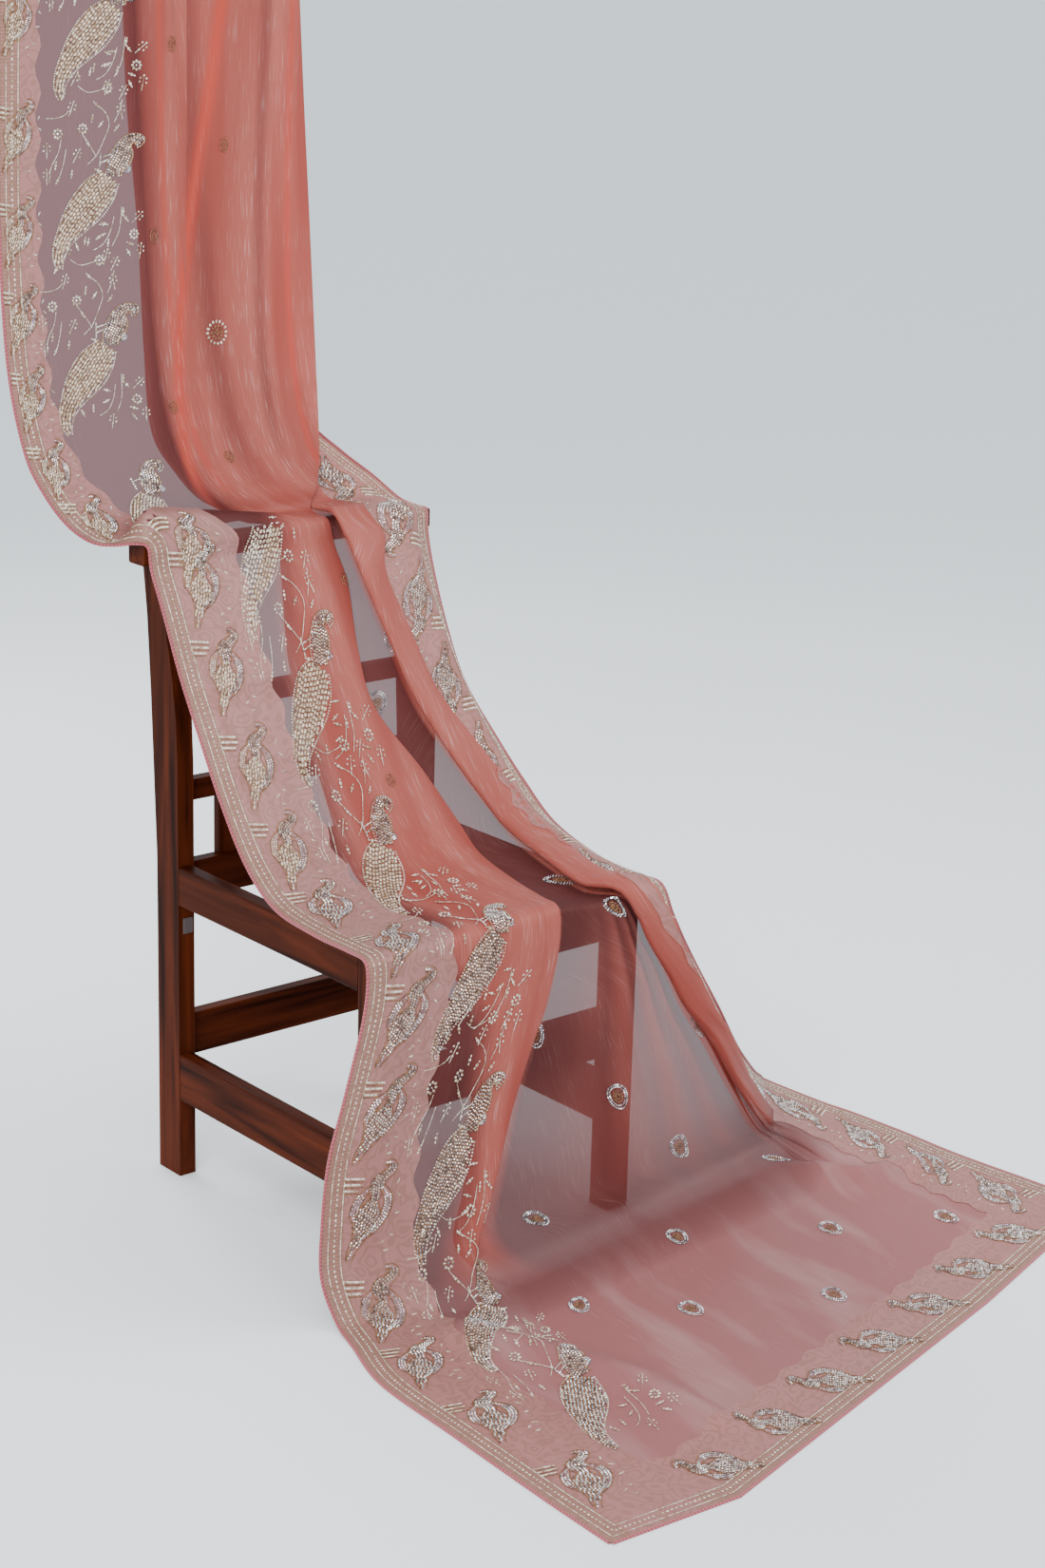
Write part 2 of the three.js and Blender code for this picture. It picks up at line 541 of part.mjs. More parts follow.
// A closed solid through loops of points, the first and last closed by a fan
function ringSolid(loops) {
  const count = loops[0].length;
  const positions = [];
  for (const loop of loops) for (const p of loop) positions.push(p.x, p.y, p.z);
  const index = [];
  for (let i = 0; i + 1 < loops.length; i++)
    for (let j = 0; j < count; j++) {
      const a = i * count + j;
      const b = i * count + ((j + 1) % count);
      index.push(a, b + count, b, a, a + count, b + count);
    }
  for (const [ring, flip] of [[0, true], [loops.length - 1, false]]) {
    const centre = loops[ring].reduce((sum, p) => sum.add(p), new THREE.Vector3())
      .divideScalar(count);
    const hub = positions.length / 3;
    positions.push(centre.x, centre.y, centre.z);
    for (let j = 0; j < count; j++) {
      const a = ring * count + j;
      const b = ring * count + ((j + 1) % count);
      index.push(...(flip ? [hub, a, b] : [hub, b, a]));
    }
  }
  const geometry = new THREE.BufferGeometry();
  geometry.setAttribute("position", new THREE.Float32BufferAttribute(positions, 3));
  geometry.setIndex(index);
  geometry.computeVertexNormals();
  return geometry;
}
add("saree_folded_rest", foldedRest(), "organza");

// A board with slightly rounded long edges: its size along X, Y and Z, its lowest corner, and its grain
const EDGE_ROUND = 3;
function board(name, [x, y, z], [w, d, h], material = "wood") {
  const grain = w >= d && w >= h ? "x" : d >= h ? "y" : "z";
  const [a, b, length] = { x: [d, h, w], y: [h, w, d], z: [w, d, h] }[grain];
  const r = Math.min(EDGE_ROUND, a / 4, b / 4);
  const shape = new THREE.Shape();
  shape.moveTo(r, 0);
  shape.lineTo(a - r, 0).absarc(a - r, r, r, -Math.PI / 2, 0, false);
  shape.lineTo(a, b - r).absarc(a - r, b - r, r, 0, Math.PI / 2, false);
  shape.lineTo(r, b).absarc(r, b - r, r, Math.PI / 2, Math.PI, false);
  shape.lineTo(0, r).absarc(r, r, r, Math.PI, 1.5 * Math.PI, false);
  const geometry = new THREE.ExtrudeGeometry(shape, { depth: length, curveSegments: 2,
    bevelEnabled: false });
  const turn = new THREE.Matrix4();
  if (grain === "x") turn.makeBasis(new THREE.Vector3(0, 1, 0), new THREE.Vector3(0, 0, 1),
    new THREE.Vector3(1, 0, 0));
  if (grain === "y") turn.makeBasis(new THREE.Vector3(0, 0, 1), new THREE.Vector3(1, 0, 0),
    new THREE.Vector3(0, 1, 0));
  geometry.applyMatrix4(turn);
  add(name, geometry, material).position.set(x, y, z);
}

// The back posts: upright to the seat, then leaning back and growing slimmer
const POST = { width: 25.4, depth: 50.5, top: 849.7 };
const POST_PROFILE = [
  { y: 0, z: 0 }, { y: POST.depth, z: 0 }, { y: POST.depth, z: 450 }, { y: 56, z: 560 },
  { y: 62, z: 680 }, { y: 69, z: 780 }, { y: 78, z: POST.top }, { y: 47, z: POST.top },
  { y: 28, z: 780 }, { y: 12, z: 710 }, { y: 3, z: 650 }, { y: 0, z: 590 },
];
function backPost(name, x) {
  const shape = new THREE.Shape(POST_PROFILE.map((p) => new THREE.Vector2(p.y, p.z)));
  const geometry = new THREE.ExtrudeGeometry(shape, { depth: POST.width, bevelEnabled: false });
  geometry.applyMatrix4(new THREE.Matrix4().makeBasis(new THREE.Vector3(0, 1, 0),
    new THREE.Vector3(0, 0, 1), new THREE.Vector3(1, 0, 0)));
  add(name, geometry, "wood").position.x = x;
}
backPost("chair_post_left", 0);
backPost("chair_post_right", CHAIR_WIDTH - POST.width);

// The front legs and the seat's open frame, each rail butted to its posts
const LEG = { width: 36, depth: 39 };
const legY = -CHAIR_DEPTH;
for (const [side, x] of [["left", 0], ["right", CHAIR_WIDTH - LEG.width]])
  board("chair_leg_" + side, [x, legY, 0], [LEG.width, LEG.depth, SEAT_TOP]);

const betweenPosts = CHAIR_WIDTH - 2 * POST.width - 2 * FIT;
const betweenLegs = CHAIR_WIDTH - 2 * LEG.width - 2 * FIT;
const sideLength = CHAIR_DEPTH - LEG.depth - 2 * FIT;
const sideY = legY + LEG.depth + FIT;
const SIDE_RAILS = [
  { name: "seat_rail", low: 392.5, height: SEAT_TOP - 392.5 },
  { name: "low_rail", low: 112, height: 67 },
];
for (const rail of SIDE_RAILS) {
  board(`chair_${rail.name}_left`, [0.5, sideY, rail.low], [RAIL_THICK, sideLength, rail.height]);
  board(`chair_${rail.name}_right`, [CHAIR_WIDTH - RAIL_THICK - 0.5, sideY, rail.low],
    [RAIL_THICK, sideLength, rail.height]);
}
const CROSS_RAILS = [
  { name: "seat_rail_front", x: LEG.width, y: legY + 4, low: 390, height: 55, long: betweenLegs },
  { name: "stretcher_front", x: LEG.width, y: legY + 6, low: 224, height: 66, long: betweenLegs },
  { name: "seat_rail_back", x: POST.width, y: 10, low: 394, height: 53, long: betweenPosts },
  { name: "stretcher_back", x: POST.width, y: 12, low: 169, height: 60, long: betweenPosts },
  { name: "slat_lower", x: POST.width, y: 14, low: 531, height: 29, long: betweenPosts },
  { name: "slat_upper", x: POST.width, y: 22, low: 647, height: 26, long: betweenPosts },
];
for (const rail of CROSS_RAILS)
  board("chair_" + rail.name, [rail.x + FIT, rail.y, rail.low], [rail.long, RAIL_THICK, rail.height]);

// Two uprights between the seat's back rail and the lower slat
const UPRIGHT = { width: 34, inset: 78, thick: 16 };
for (const [side, x] of [["left", UPRIGHT.inset], ["right", CHAIR_WIDTH - UPRIGHT.inset - UPRIGHT.width]])
  board("chair_upright_" + side, [x, 16, SEAT_TOP + FIT],
    [UPRIGHT.width, UPRIGHT.thick, 531 - SEAT_TOP - 2 * FIT]);

// The top rail that the cloth hangs over, and a small steel bracket under the seat rail
board("chair_top_rail", [-19, 45, POST.top + FIT], [472, 37, 26]);
board("chair_bracket", [7, -1.6, 352], [15, 1.3, 22], "steel");

// The origin: the middle of the footprint, on the floor
model.updateMatrixWorld(true);
const box = new THREE.Box3().setFromObject(model, true);
const centre = box.getCenter(new THREE.Vector3());
model.children.forEach((mesh) => mesh.position.sub(new THREE.Vector3(centre.x, centre.y, box.min.z)));

export default model;
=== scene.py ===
import math

import bpy
import numpy as np
from mathutils import Matrix, Vector


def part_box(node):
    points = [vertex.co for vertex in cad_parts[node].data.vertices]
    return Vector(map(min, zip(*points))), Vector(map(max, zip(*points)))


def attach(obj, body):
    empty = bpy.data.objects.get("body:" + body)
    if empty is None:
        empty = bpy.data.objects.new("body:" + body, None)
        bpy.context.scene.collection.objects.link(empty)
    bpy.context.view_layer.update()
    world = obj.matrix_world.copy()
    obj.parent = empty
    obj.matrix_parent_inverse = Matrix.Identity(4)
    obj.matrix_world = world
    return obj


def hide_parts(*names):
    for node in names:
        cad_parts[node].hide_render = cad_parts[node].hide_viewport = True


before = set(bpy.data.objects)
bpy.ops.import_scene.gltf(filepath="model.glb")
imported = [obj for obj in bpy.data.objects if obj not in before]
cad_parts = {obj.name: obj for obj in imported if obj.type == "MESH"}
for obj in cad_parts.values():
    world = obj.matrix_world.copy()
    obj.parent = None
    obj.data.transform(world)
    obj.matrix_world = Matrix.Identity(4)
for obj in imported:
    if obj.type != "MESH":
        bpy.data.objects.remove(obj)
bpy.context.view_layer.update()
scene = bpy.context.scene

# Organza saree: one sheer length, 1.14 m wide, that hangs down, crosses the chair's top rail, falls
# over the open seat and its front, and spreads on the floor. Its right half is gathered into a roll.
# The chair's own corner is the origin of the tables below, in millimetres.
CHAIR_DEPTH = 437
SAREE_WIDTH = 1140
SIDE_BAND = 133
WALL = 1.0
FLOOR_LEVEL = 0.3 + WALL / 2
PROBE = 0.05
LANDING = 26.5
PAST_FOLD = 4
BEFORE_ROLL = 12
BORDER_REST = 6
ROLL_WIDTHS = (20, 62)
BAND_COLUMNS = 12
PANEL_COLUMNS = 12
SINGLE_COLUMNS = 36
PANEL_SAMPLES = 81
ROW_SPACING = 11
SINGLE_SHARES = (np.arange(1, SINGLE_COLUMNS + 1) / SINGLE_COLUMNS) ** 0.8

# left, fold, roll and right guides, then tuck, under, base, step, hide, and how far tuck and roll are shut
SECTIONS = [
    ((-182, 95, 1640), (256, 95, 1640), (158, 121, 1640), (225, 119, 1640), 245, 4, 26, 3, 32, 1, 1),
    ((-188, 95, 1450), (267, 95, 1450), (142, 121, 1450), (212, 119, 1450), 252, 4, 26, 3, 32, 1, 1),
    ((-191, 95, 1280), (278, 95, 1280), (112, 121, 1280), (196, 119, 1280), 248, 4, 26, 3, 34, 1, 1),
    ((-184, 95, 1120), (288, 95, 1120), (98, 121, 1120), (200, 119, 1120), 250, 4, 26, 3, 34, 1, 1),
    ((-163, 95, 1010), (295, 95, 1010), (188, 121, 1010), (285, 119, 1010), 246, 4, 26, 3, 28, 1, 1),
    ((-136, 95, 952), (297, 95, 950), (262, 120, 952), (350, 118, 955), 210, 4, 26, 3, 34, 1, 1),
    ((-98, 94, 903), (291, 92, 916.5), (278.1, 118, 912), (403, 114.6, 916), 160, 4, 30, 2.7, 60, 1, 1),
    ((-54, 92.8, 876.1), (277, 87, 891.8), (283.2, 100.8, 880.2), (435, 94, 884),
     110, 2, 7.6, 2.7, 95.5, 1, 1),
    ((-22, 60.5, 880.3), (272, 62, 884.5), (287.9, 62, 878), (444, 62, 877.7), 78, 2.6, 5.2, 2.7, 112, 1, 1),
    ((-14, 41, 876.4), (273, 40, 881), (284, 40, 875.5), (442, 40.5, 876.2), 80, 2.6, 5.2, 3.3, 120, 1, 1),
    ((-12, 36, 846), (277, 30, 846), (287, 22.7, 846), (440, 35.3, 846), 85, 3, 7, 4.5, 106.4, 1, 1),
    ((-12, 10, 798), (280, 4, 798), (292, -4.7, 799), (440, 21, 798), 100, 4, 9, 4.3, 107.1, 1, 1),
    ((-12, -31, 716), (266, -39, 716), (311, -42, 716), (440, -12, 722), 106, 4, 9, 4.0, 105, 1, 1),
    ((-12, -75, 644), (263, -83, 645), (322, -86, 642), (441, -54, 650), 110, 4, 9, 4.4, 100, 1, 1),
    ((-12, -122, 570), (304, -134, 566), (352, -134, 568), (444, -120, 586), 155, 4, 9, 4.4, 70, 1, 1),
    ((-12, -177, 501), (323, -192, 502), (379, -189, 504), (448, -180, 533), 183, 4, 9, 4.4, 50, 1, 1),
    ((-12, -240, 460), (319, -242, 473), (379, -242, 477), (452, -240, 490), 186, 4, 8, 4.2, 50, 1, 1),
    ((-13, -325, 450), (306, -324, 463), (368, -325, 463), (456, -325, 465), 166, 4, 8, 4, 62, 1, 1),
    ((-15, -400, 450.5), (291, -402, 462), (362, -403, 453), (459, -400, 459), 152, 4, 8, 3.6, 70, 1, 1),
    ((-19, -440, 450), (284, -445, 461), (395, -441, 450), (462, -446, 457), 191, 4, 8, 3.6, 45, 1, 1),
    ((-20, -448, 424), (282, -454, 428), (414, -450, 424), (474, -458, 416), 181, 4, 8, 3.6, 40, 1, 1),
    ((-27, -450, 380), (275, -455, 386), (432, -452, 388), (498, -458, 372), 146, 4, 8, 4, 46, 1, 1),
    ((-43, -452, 328), (257, -458, 332), (466, -452, 336), (538, -454, 312), 100, 4, 9, 4.6, 54, 1, 1),
    ((-60, -455, 280), (228, -464, 280), (502, -450, 275), (586, -442, 248), 80, 5, 10, 5, 46, 1, 1),
    ((-85, -458, 205), (190, -474, 207), (552, -448, 208), (650, -414, 172), 57, 5, 11, 5, 34, 1, 1),
    ((-97, -462, 125), (148, -493, 122), (608, -442, 128), (725, -374, 105), 38, 5, 11, 5, 26, 1, 0.9),
    ((-103, -470, 62), (111, -510, 64), (658, -444, 55.2), (785, -332, 66), 36, 6, 12, 8, 12.9, 0.9, 0.62),
    ((-98, -494, 12), (86, -538, 14), (709.1, -437.8, 14.7), (842, -290, 31.4), 30, 6, 12, 7, 28, 0.34, 0.25),
    ((-108, -540, 0.8), (88, -590, 0.8), (690, -522.6, 2.6), (898, -345, 2.9), 20, 2, 2, 14.2, 6.8, 0, 0.11),
    ((-139, -640, 0.8), (80, -672, 0.8), (650, -607.6, 0.8), (916, -470, 0.8), 20, 2, 2, 2, 30, 0, 0),
    ((-147, -790, 0.8), (58, -812, 0.8), (617, -710, 0.8), (921, -590, 0.8), 20, 2, 2, 2, 30, 0, 0),
    ((-155, -957, 0.8), (24, -970, 0.8), (606, -818, 0.8), (935, -711, 0.8), 20, 2, 2, 2, 30, 0, 0),
    ((-158, -1071, 0.8), (20, -1084, 0.8), (605, -930, 0.8), (948, -822, 0.8), 20, 2, 2, 2, 30, 0, 0),
]
LAST = len(SECTIONS) - 1
CREST = dict(row=8, reach=0.9, height=48, peak=0.07)

# Fan folds from the seat's corner: share of the way from fold to roll at their two ends, and height
FAN_ROWS = (19, 28)
FAN_SPREAD, FAN_LEAST = 0.26, 0.012
FAN_FOLDS = [
    (0.50, 0.34, 6),
    (0.67, 0.53, 13),
    (0.83, 0.72, 12),
    (0.94, 0.87, 9),
]

# Ridges in the cloth on the floor: two ends, height and width
FLOOR_RIDGES = [
    ((20, -590), (108, -815), 15, 26),
    ((108, -815), (122, -960), 11, 24),
    ((660, -470), (745, -570), 20, 26),
    ((745, -570), (850, -592), 18, 24),
]

# Level, start and stop of each hidden run of the roll, whether they are shares of the roll's own width,
# and the shares of the open cloth that the run covers
ROLL_RUNS = [
    (0, 0.1, 1, False, (0.03, 0.2)),
    (1, 1, 0.35, False, (0.23, 0.33)),
    (2, 0.35, 1, False, (0.36, 0.46)),
    (3, 1, 0, False, (0.5, 0.66)),
    (6, 0, 1, True, (0.7, 0.84)),
    (5, 1, 0.15, True, (0.87, 0.97)),
]
BORDER_RUN = (4, 0.15, None, True, (1, 1))


def unit(v):
    return v / np.linalg.norm(v, axis=-1, keepdims=True)


def smooth(s):
    return s * s * (3 - 2 * s)


def spread(a, b, shares):
    return a + (b - a) * np.asarray(shares)[:, None]


table = np.array([[*a, *b, *c, *d, *rest] for a, b, c, d, *rest in SECTIONS], float)


def guides(t):
    """The table's values at row t, on a Catmull-Rom curve through the rows."""
    i = min(LAST - 1, int(t))
    s = t - i
    p0, p1, p2, p3 = (table[min(LAST, max(0, k))] for k in (i - 1, i, i + 1, i + 2))
    row = 0.5 * (2 * p1 + (p2 - p0) * s + (2 * p0 - 5 * p1 + 4 * p2 - p3) * s * s
                 + (3 * p1 - p0 - 3 * p2 + p3) * s ** 3)
    return row[0:3], row[3:6], row[6:9], row[9:12], row[12:]


def distances_along(points, axis=0):
    """The distance of each point from the first one along an axis of a line or grid."""
    steps = np.linalg.norm(np.diff(points, axis=axis), axis=-1)
    start = np.zeros_like(np.take(steps, [0], axis))
    return np.concatenate([start, np.cumsum(steps, axis)], axis)


def walk(line, distances, *values):
    """Points at distances along a line of points, each with the values that go with it."""
    along = distances_along(line)
    both = np.concatenate([line, *values], 1)
    return np.stack([np.interp(distances, along, both[:, k]) for k in range(both.shape[1])], 1)


def length_of(line):
    return np.linalg.norm(np.diff(line[:, :3], axis=0), axis=1).sum()


def half_turn(a, b, side):
    """Three points on the half circle from a to b that bulges to one side."""
    middle, half = (a + b) / 2, (b - a) / 2
    reach = np.linalg.norm(half)
    return np.array([middle - half * math.cos(w) + side * reach * math.sin(w)
                     for w in (math.pi / 4, math.pi / 2, 3 * math.pi / 4)])


def fan_height(t, shares):
    low, high = FAN_ROWS
    along = min(1, max(0, (t - low) / (high - low)))
    swell = math.sin(math.pi * along ** 0.7)
    total = np.zeros_like(shares)
    for start, end, height in FAN_FOLDS:
        centre = start + (end - start) * along
        wide = FAN_SPREAD * (1 - centre) + FAN_LEAST
        total = np.maximum(total, height * swell * np.exp(-((shares - centre) / wide) ** 2))
    return total


def ridge_height(points):
    height = np.zeros(len(points))
    for start, end, top, width in FLOOR_RIDGES:
        a, run = np.array(start), np.array(end) - np.array(start)
        away = points[:, :2] - a
        s = np.clip(away @ run / (run @ run), 0, 1)
        far = np.linalg.norm(away - s[:, None] * run, axis=1)
        height = np.maximum(height, top * np.exp(-(far / width) ** 2))
    return height


def section(t, roll_width):
    """The points of one section across the cloth."""
    left, fold, roll, right, (tuck, under, base, step, hide, tuck_shut, roll_shut) = guides(t)
    tuck_shut, roll_shut = np.clip((tuck_shut, roll_shut), 0, 1)
    above, below = guides(max(0, t - PROBE)), guides(min(LAST, t + PROBE))
    down = unit(below[0] + below[1] - above[0] - above[1])
    across, over = unit(fold - left), unit(right - roll)
    out = unit(np.cross(down, across))
    roll_out = unit(np.cross(unit(below[2] - above[2]), over))

    # The front panel, with the loose crest over the rail
    s = np.linspace(0, 1, PANEL_SAMPLES)
    near = max(0, 1 - abs(t - CREST["row"]) / CREST["reach"])
    panel = spread(left, fold, s)
    panel[:, 2] += CREST["height"] * smooth(near) * smooth(np.minimum(1, s / CREST["peak"])) * (1 - s)
    rest = length_of(panel) - SIDE_BAND
    points = [walk(panel, np.concatenate([
        SIDE_BAND * np.arange(BAND_COLUMNS) / BAND_COLUMNS,
        SIDE_BAND + rest * np.arange(PANEL_COLUMNS + 1) / PANEL_COLUMNS]))]

    # The tuck behind the fold, the stretch that the panel hides, and the single layer to the roll
    back = fold - across * tuck
    tucked = [fold - out * under, back - out * under]
    hidden = back - out * base
    showing = hidden + across * min(tuck + PAST_FOLD, (roll - back) @ across - BEFORE_ROLL)
    raised = out * fan_height(t, SINGLE_SHARES)[:, None]
    single = spread(showing, roll, SINGLE_SHARES) + raised
    closed = np.concatenate([
        half_turn(fold, tucked[0], across), spread(*tucked, np.linspace(0, 1, 5)),
        half_turn(tucked[1], hidden, -across), spread(hidden, showing, np.linspace(0, 1, 6)), single])
    shares = np.concatenate([
        np.linspace(0.004, 0.016, 3), np.linspace(0.02, 0.12, 5),
        np.linspace(0.123, 0.137, 3), np.linspace(0.14, 0.22, 6), 0.22 + 0.78 * SINGLE_SHARES])
    open_points = spread(fold, roll, shares)
    open_points[-SINGLE_COLUMNS:] += raised
    points.append(open_points + (closed - open_points) * tuck_shut)

    # The roll's layers, folded to and fro, and the border's run out from under them
    width = np.linalg.norm(right - roll)
    free = 1 - (SIDE_BAND + BORDER_REST) / width
    runs = [*ROLL_RUNS, BORDER_RUN]
    closed, shares = [], []

    def place(distance, level):
        return roll + over * distance + roll_out * level * step

    def end(run, k):
        return place(run[k] * (roll_width if run[3] else hide), run[0])

    for run, after in zip(runs, runs[1:]):
        closed.append(spread(end(run, 1), end(run, 2), np.linspace(0, 1, 4)))
        side = over if run[2] > run[1] else -over
        closed.append(half_turn(end(run, 2), end(after, 1), side))
        shares += [np.linspace(*run[4], 4), np.linspace(run[4][1], after[4][0], 5)[1:4]]
    open_points = spread(roll, right, np.concatenate(shares) * free)
    closed = np.concatenate(closed)
    points.append(open_points + (closed - open_points) * roll_shut)

    start = BORDER_RUN[1] * roll_width
    band = min(SIDE_BAND, width - start - BORDER_REST)
    run_length = roll_shut * (width - start) + (1 - roll_shut) * (SIDE_BAND + BORDER_REST)
    wide = roll_shut * band + (1 - roll_shut) * SIDE_BAND
    distance = width - np.concatenate([[run_length], wide * np.arange(BAND_COLUMNS, -1, -1) / BAND_COLUMNS])
    ease = smooth(np.clip((distance - hide) / (width - hide), 0, 1))
    level = BORDER_RUN[0] * step * (1 - ease) * roll_shut
    points.append(roll + over * distance[:, None] + roll_out * level[:, None])

    points = np.concatenate(points)
    if t > LANDING:
        fade = smooth(min(1, (t - LANDING) / 2))
        points[:, 2] = np.maximum(points[:, 2], FLOOR_LEVEL) + fade * ridge_height(points)
    return points


def solved(t):
    """The section whose roll takes up just the cloth that the rest of the section leaves over."""
    low, high = ROLL_WIDTHS
    for _ in range(10):
        middle = (low + high) / 2
        if length_of(section(t, middle)) < SAREE_WIDTH:
            low = middle
        else:
            high = middle
    return section(t, (low + high) / 2)


stations = []
for row in range(LAST):
    gap = np.linalg.norm((table[row + 1] - table[row])[:12].reshape(4, 3), axis=1).max()
    stations += list(row + np.arange(math.ceil(gap / ROW_SPACING)) / math.ceil(gap / ROW_SPACING))
stations.append(LAST)
cloth = np.array([solved(t) for t in stations])


def normals_of(grid):
    down = np.gradient(grid, axis=0)
    across = np.gradient(grid, axis=1)
    return unit(np.cross(down, across) + 1e-9)


# Long soft folds in the hanging cloth: rows from and to, distance from the left selvedge at each end,
# height and width in millimetres
SOFT_FOLDS = [
    (0, 6, 208, 190, 9, 16),
    (0, 6, 345, 235, 8, 14),
    (0, 6, 262, 300, -6, 18),
    (0, 5, 395, 400, 6, 20),
    (10, 18, 150, 175, 3, 12),
    (11, 18, 215, 205, 4, 16),
    (20, 26, 168, 150, 5, 16),
    (20, 27, 60, 50, 5, 22),
]
along_cloth = distances_along(cloth[:, 0])
across_cloth = distances_along(cloth, 1)
normals = normals_of(cloth)
panel_last = BAND_COLUMNS + PANEL_COLUMNS
front = np.arange(cloth.shape[1]) <= panel_last
for first, last, near, far, height, width in SOFT_FOLDS:
    share = (np.array(stations) - first) / (last - first)
    swell = np.where((share > 0) & (share < 1) | ((first == 0) & (share <= 0)),
                     np.sqrt(np.clip(np.where(first == 0, 1, 4 * share) * (1 - share), 0, 1)), 0)
    centre = near + (far - near) * np.clip(share, 0, 1)
    bump = height * swell[:, None] * np.exp(-((across_cloth - centre[:, None]) / width) ** 2)
    cloth += normals * (bump * front)[:, :, None]
normals = normals_of(cloth)

# How far each point lies among other layers: 0 on the single layer, 1 over the tuck and in the roll
LAYER_EDGE = 45
FAN_DOUBLED = 0.6
FAN_FULL = 13
TUCK_POINTS = 3 + 5 + 3 + 6
single_first = panel_last + 1 + TUCK_POINTS
roll_first = single_first + SINGLE_COLUMNS
layered = np.zeros(cloth.shape[:2])
for i, t in enumerate(stations):
    tuck, _, _, _, _, tuck_shut, roll_shut = guides(t)[4]
    from_fold = across_cloth[i, panel_last] - across_cloth[i]
    layered[i] = np.clip((tuck - from_fold) / LAYER_EDGE + 0.5, 0, 1) * min(1, tuck_shut)
    fan = fan_height(t, SINGLE_SHARES) / FAN_FULL
    layered[i, single_first:roll_first] = FAN_DOUBLED * np.clip(fan, 0, 1)
    layered[i, roll_first:] = min(1, max(0, roll_shut))
leg_low = np.array(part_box("chair_leg_left")[0])
corner = leg_low + np.array([0, CHAIR_DEPTH / 1000, 0])


def in_frame(points):
    """Chair millimetres as metres in the model's frame."""
    return points / 1000 + corner


def mesh_piece(name, points, faces, material, flat=False, maps=None, layers=None):
    """A mesh object that rides on the body. maps gives each vertex's place on the flat cloth in metres,
    and layers how far it lies among other layers."""
    mesh = bpy.data.meshes.new(name)
    mesh.from_pydata([tuple(p) for p in in_frame(points).tolist()], [], faces.tolist())
    mesh.materials.append(material)
    if maps is not None:
        layer = mesh.uv_layers.new(name="cloth")
        corners = np.empty(len(mesh.loops), dtype=np.int32)
        mesh.loops.foreach_get("vertex_index", corners)
        layer.data.foreach_set("uv", (maps[corners] / 1000).ravel())
    if layers is not None:
        mesh.attributes.new("layers", "FLOAT", "POINT").data.foreach_set("value", layers.ravel())
    mesh.polygons.foreach_set("use_smooth", [not flat] * len(mesh.polygons))
    piece = bpy.data.objects.new(name, mesh)
    scene.collection.objects.link(piece)
    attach(piece, "root")
    return piece


def grid_faces(rows, columns):
    at = np.arange(rows * columns).reshape(rows, columns)
    return np.stack([at[:-1, :-1], at[1:, :-1], at[1:, 1:], at[:-1, 1:]], -1).reshape(-1, 4)


def grid_piece(name, grid, material, **values):
    """A piece from rows of points."""
    return mesh_piece(name, grid.reshape(-1, 3), grid_faces(*grid.shape[:2]), material, **values)


def srgb(colour):
    """A colour given as sRGB hex, such as 0xC98078, as linear values."""
    parts = [(colour >> shift & 255) / 255 for shift in (16, 8, 0)]
    return (*[c / 12.92 if c <= 0.04045 else ((c + 0.055) / 1.055) ** 2.4 for c in parts], 1)


def new_material(name):
    material = bpy.data.materials.new(name)
    material.use_nodes = True
    material.node_tree.nodes.clear()
    return material, material.node_tree


def add(tree, kind, inputs=(), **settings):
    """A new node with its settings. Its inputs are values, other nodes' outputs or other nodes, which
    then give their first output in use."""
    node = tree.nodes.new("ShaderNode" + kind)
    for name, value in settings.items():
        setattr(node, name, value)
    for name, value in dict(inputs).items():
        if isinstance(value, bpy.types.Node):
            value = next(output for output in value.outputs if output.enabled)
        if isinstance(value, bpy.types.NodeSocket):
            tree.links.new(value, node.inputs[name])
        else:
            node.inputs[name].default_value = value
    return node


def cloth_place(tree):
    """How far a point lies across and along the flat cloth, in metres."""
    place = add(tree, "SeparateXYZ", {0: add(tree, "UVMap", uv_map="cloth")})
    return place.outputs[0], place.outputs[1]


def cloth_noise(tree, across, along, detail=3.0):
    """Noise on the flat cloth, with so many grains to the metre across and along it."""
    place = add(tree, "UVMap", uv_map="cloth")
    scaled = add(tree, "Mapping", {"Vector": place, "Scale": (across, along, 1)})
    return add(tree, "TexNoise", {"Vector": scaled, "Scale": 1.0, "Detail": detail})


# Sheer organza: brownish where one layer shows what is behind it and salmon where layers lie together,
# with redder folds. Painted light and shade: salmon lighter on broad lit folds and deeper between them,
# short fine glints painted as highlights, and the cloth on the floor painted lighter with a pale painted
# sheen
ORGANZA = dict(single=0x98504E, layered=0xE27E70, deep=0xCA6054, red=0xF0604E, floor=0xC88482,
               shine=0xE6BEBA, glint=0xF6DCD8, through=0x7A7C7E)
ON_FLOOR = (2.03, 2.16)
# Strips down the drop on the flat cloth, where layers part or a fold is redder: the distance across at the
# top and at the reach, the reach and the half width in metres, and strength
STRIP_FADE = 0.12
THIN_STRIPS = [
    (0.165, 0.215, 0.86, 0.034, 0.95),
    (0.262, 0.330, 0.76, 0.030, 0.40),
    (0.392, 0.380, 0.72, 0.016, 0.40),
]
RED_FOLDS = [
    (0.335, 0.212, 0.80, 0.016, 0.95),
    (0.222, 0.262, 0.78, 0.010, 0.60),
    (0.434, 0.432, 0.82, 0.010, 0.70),
]


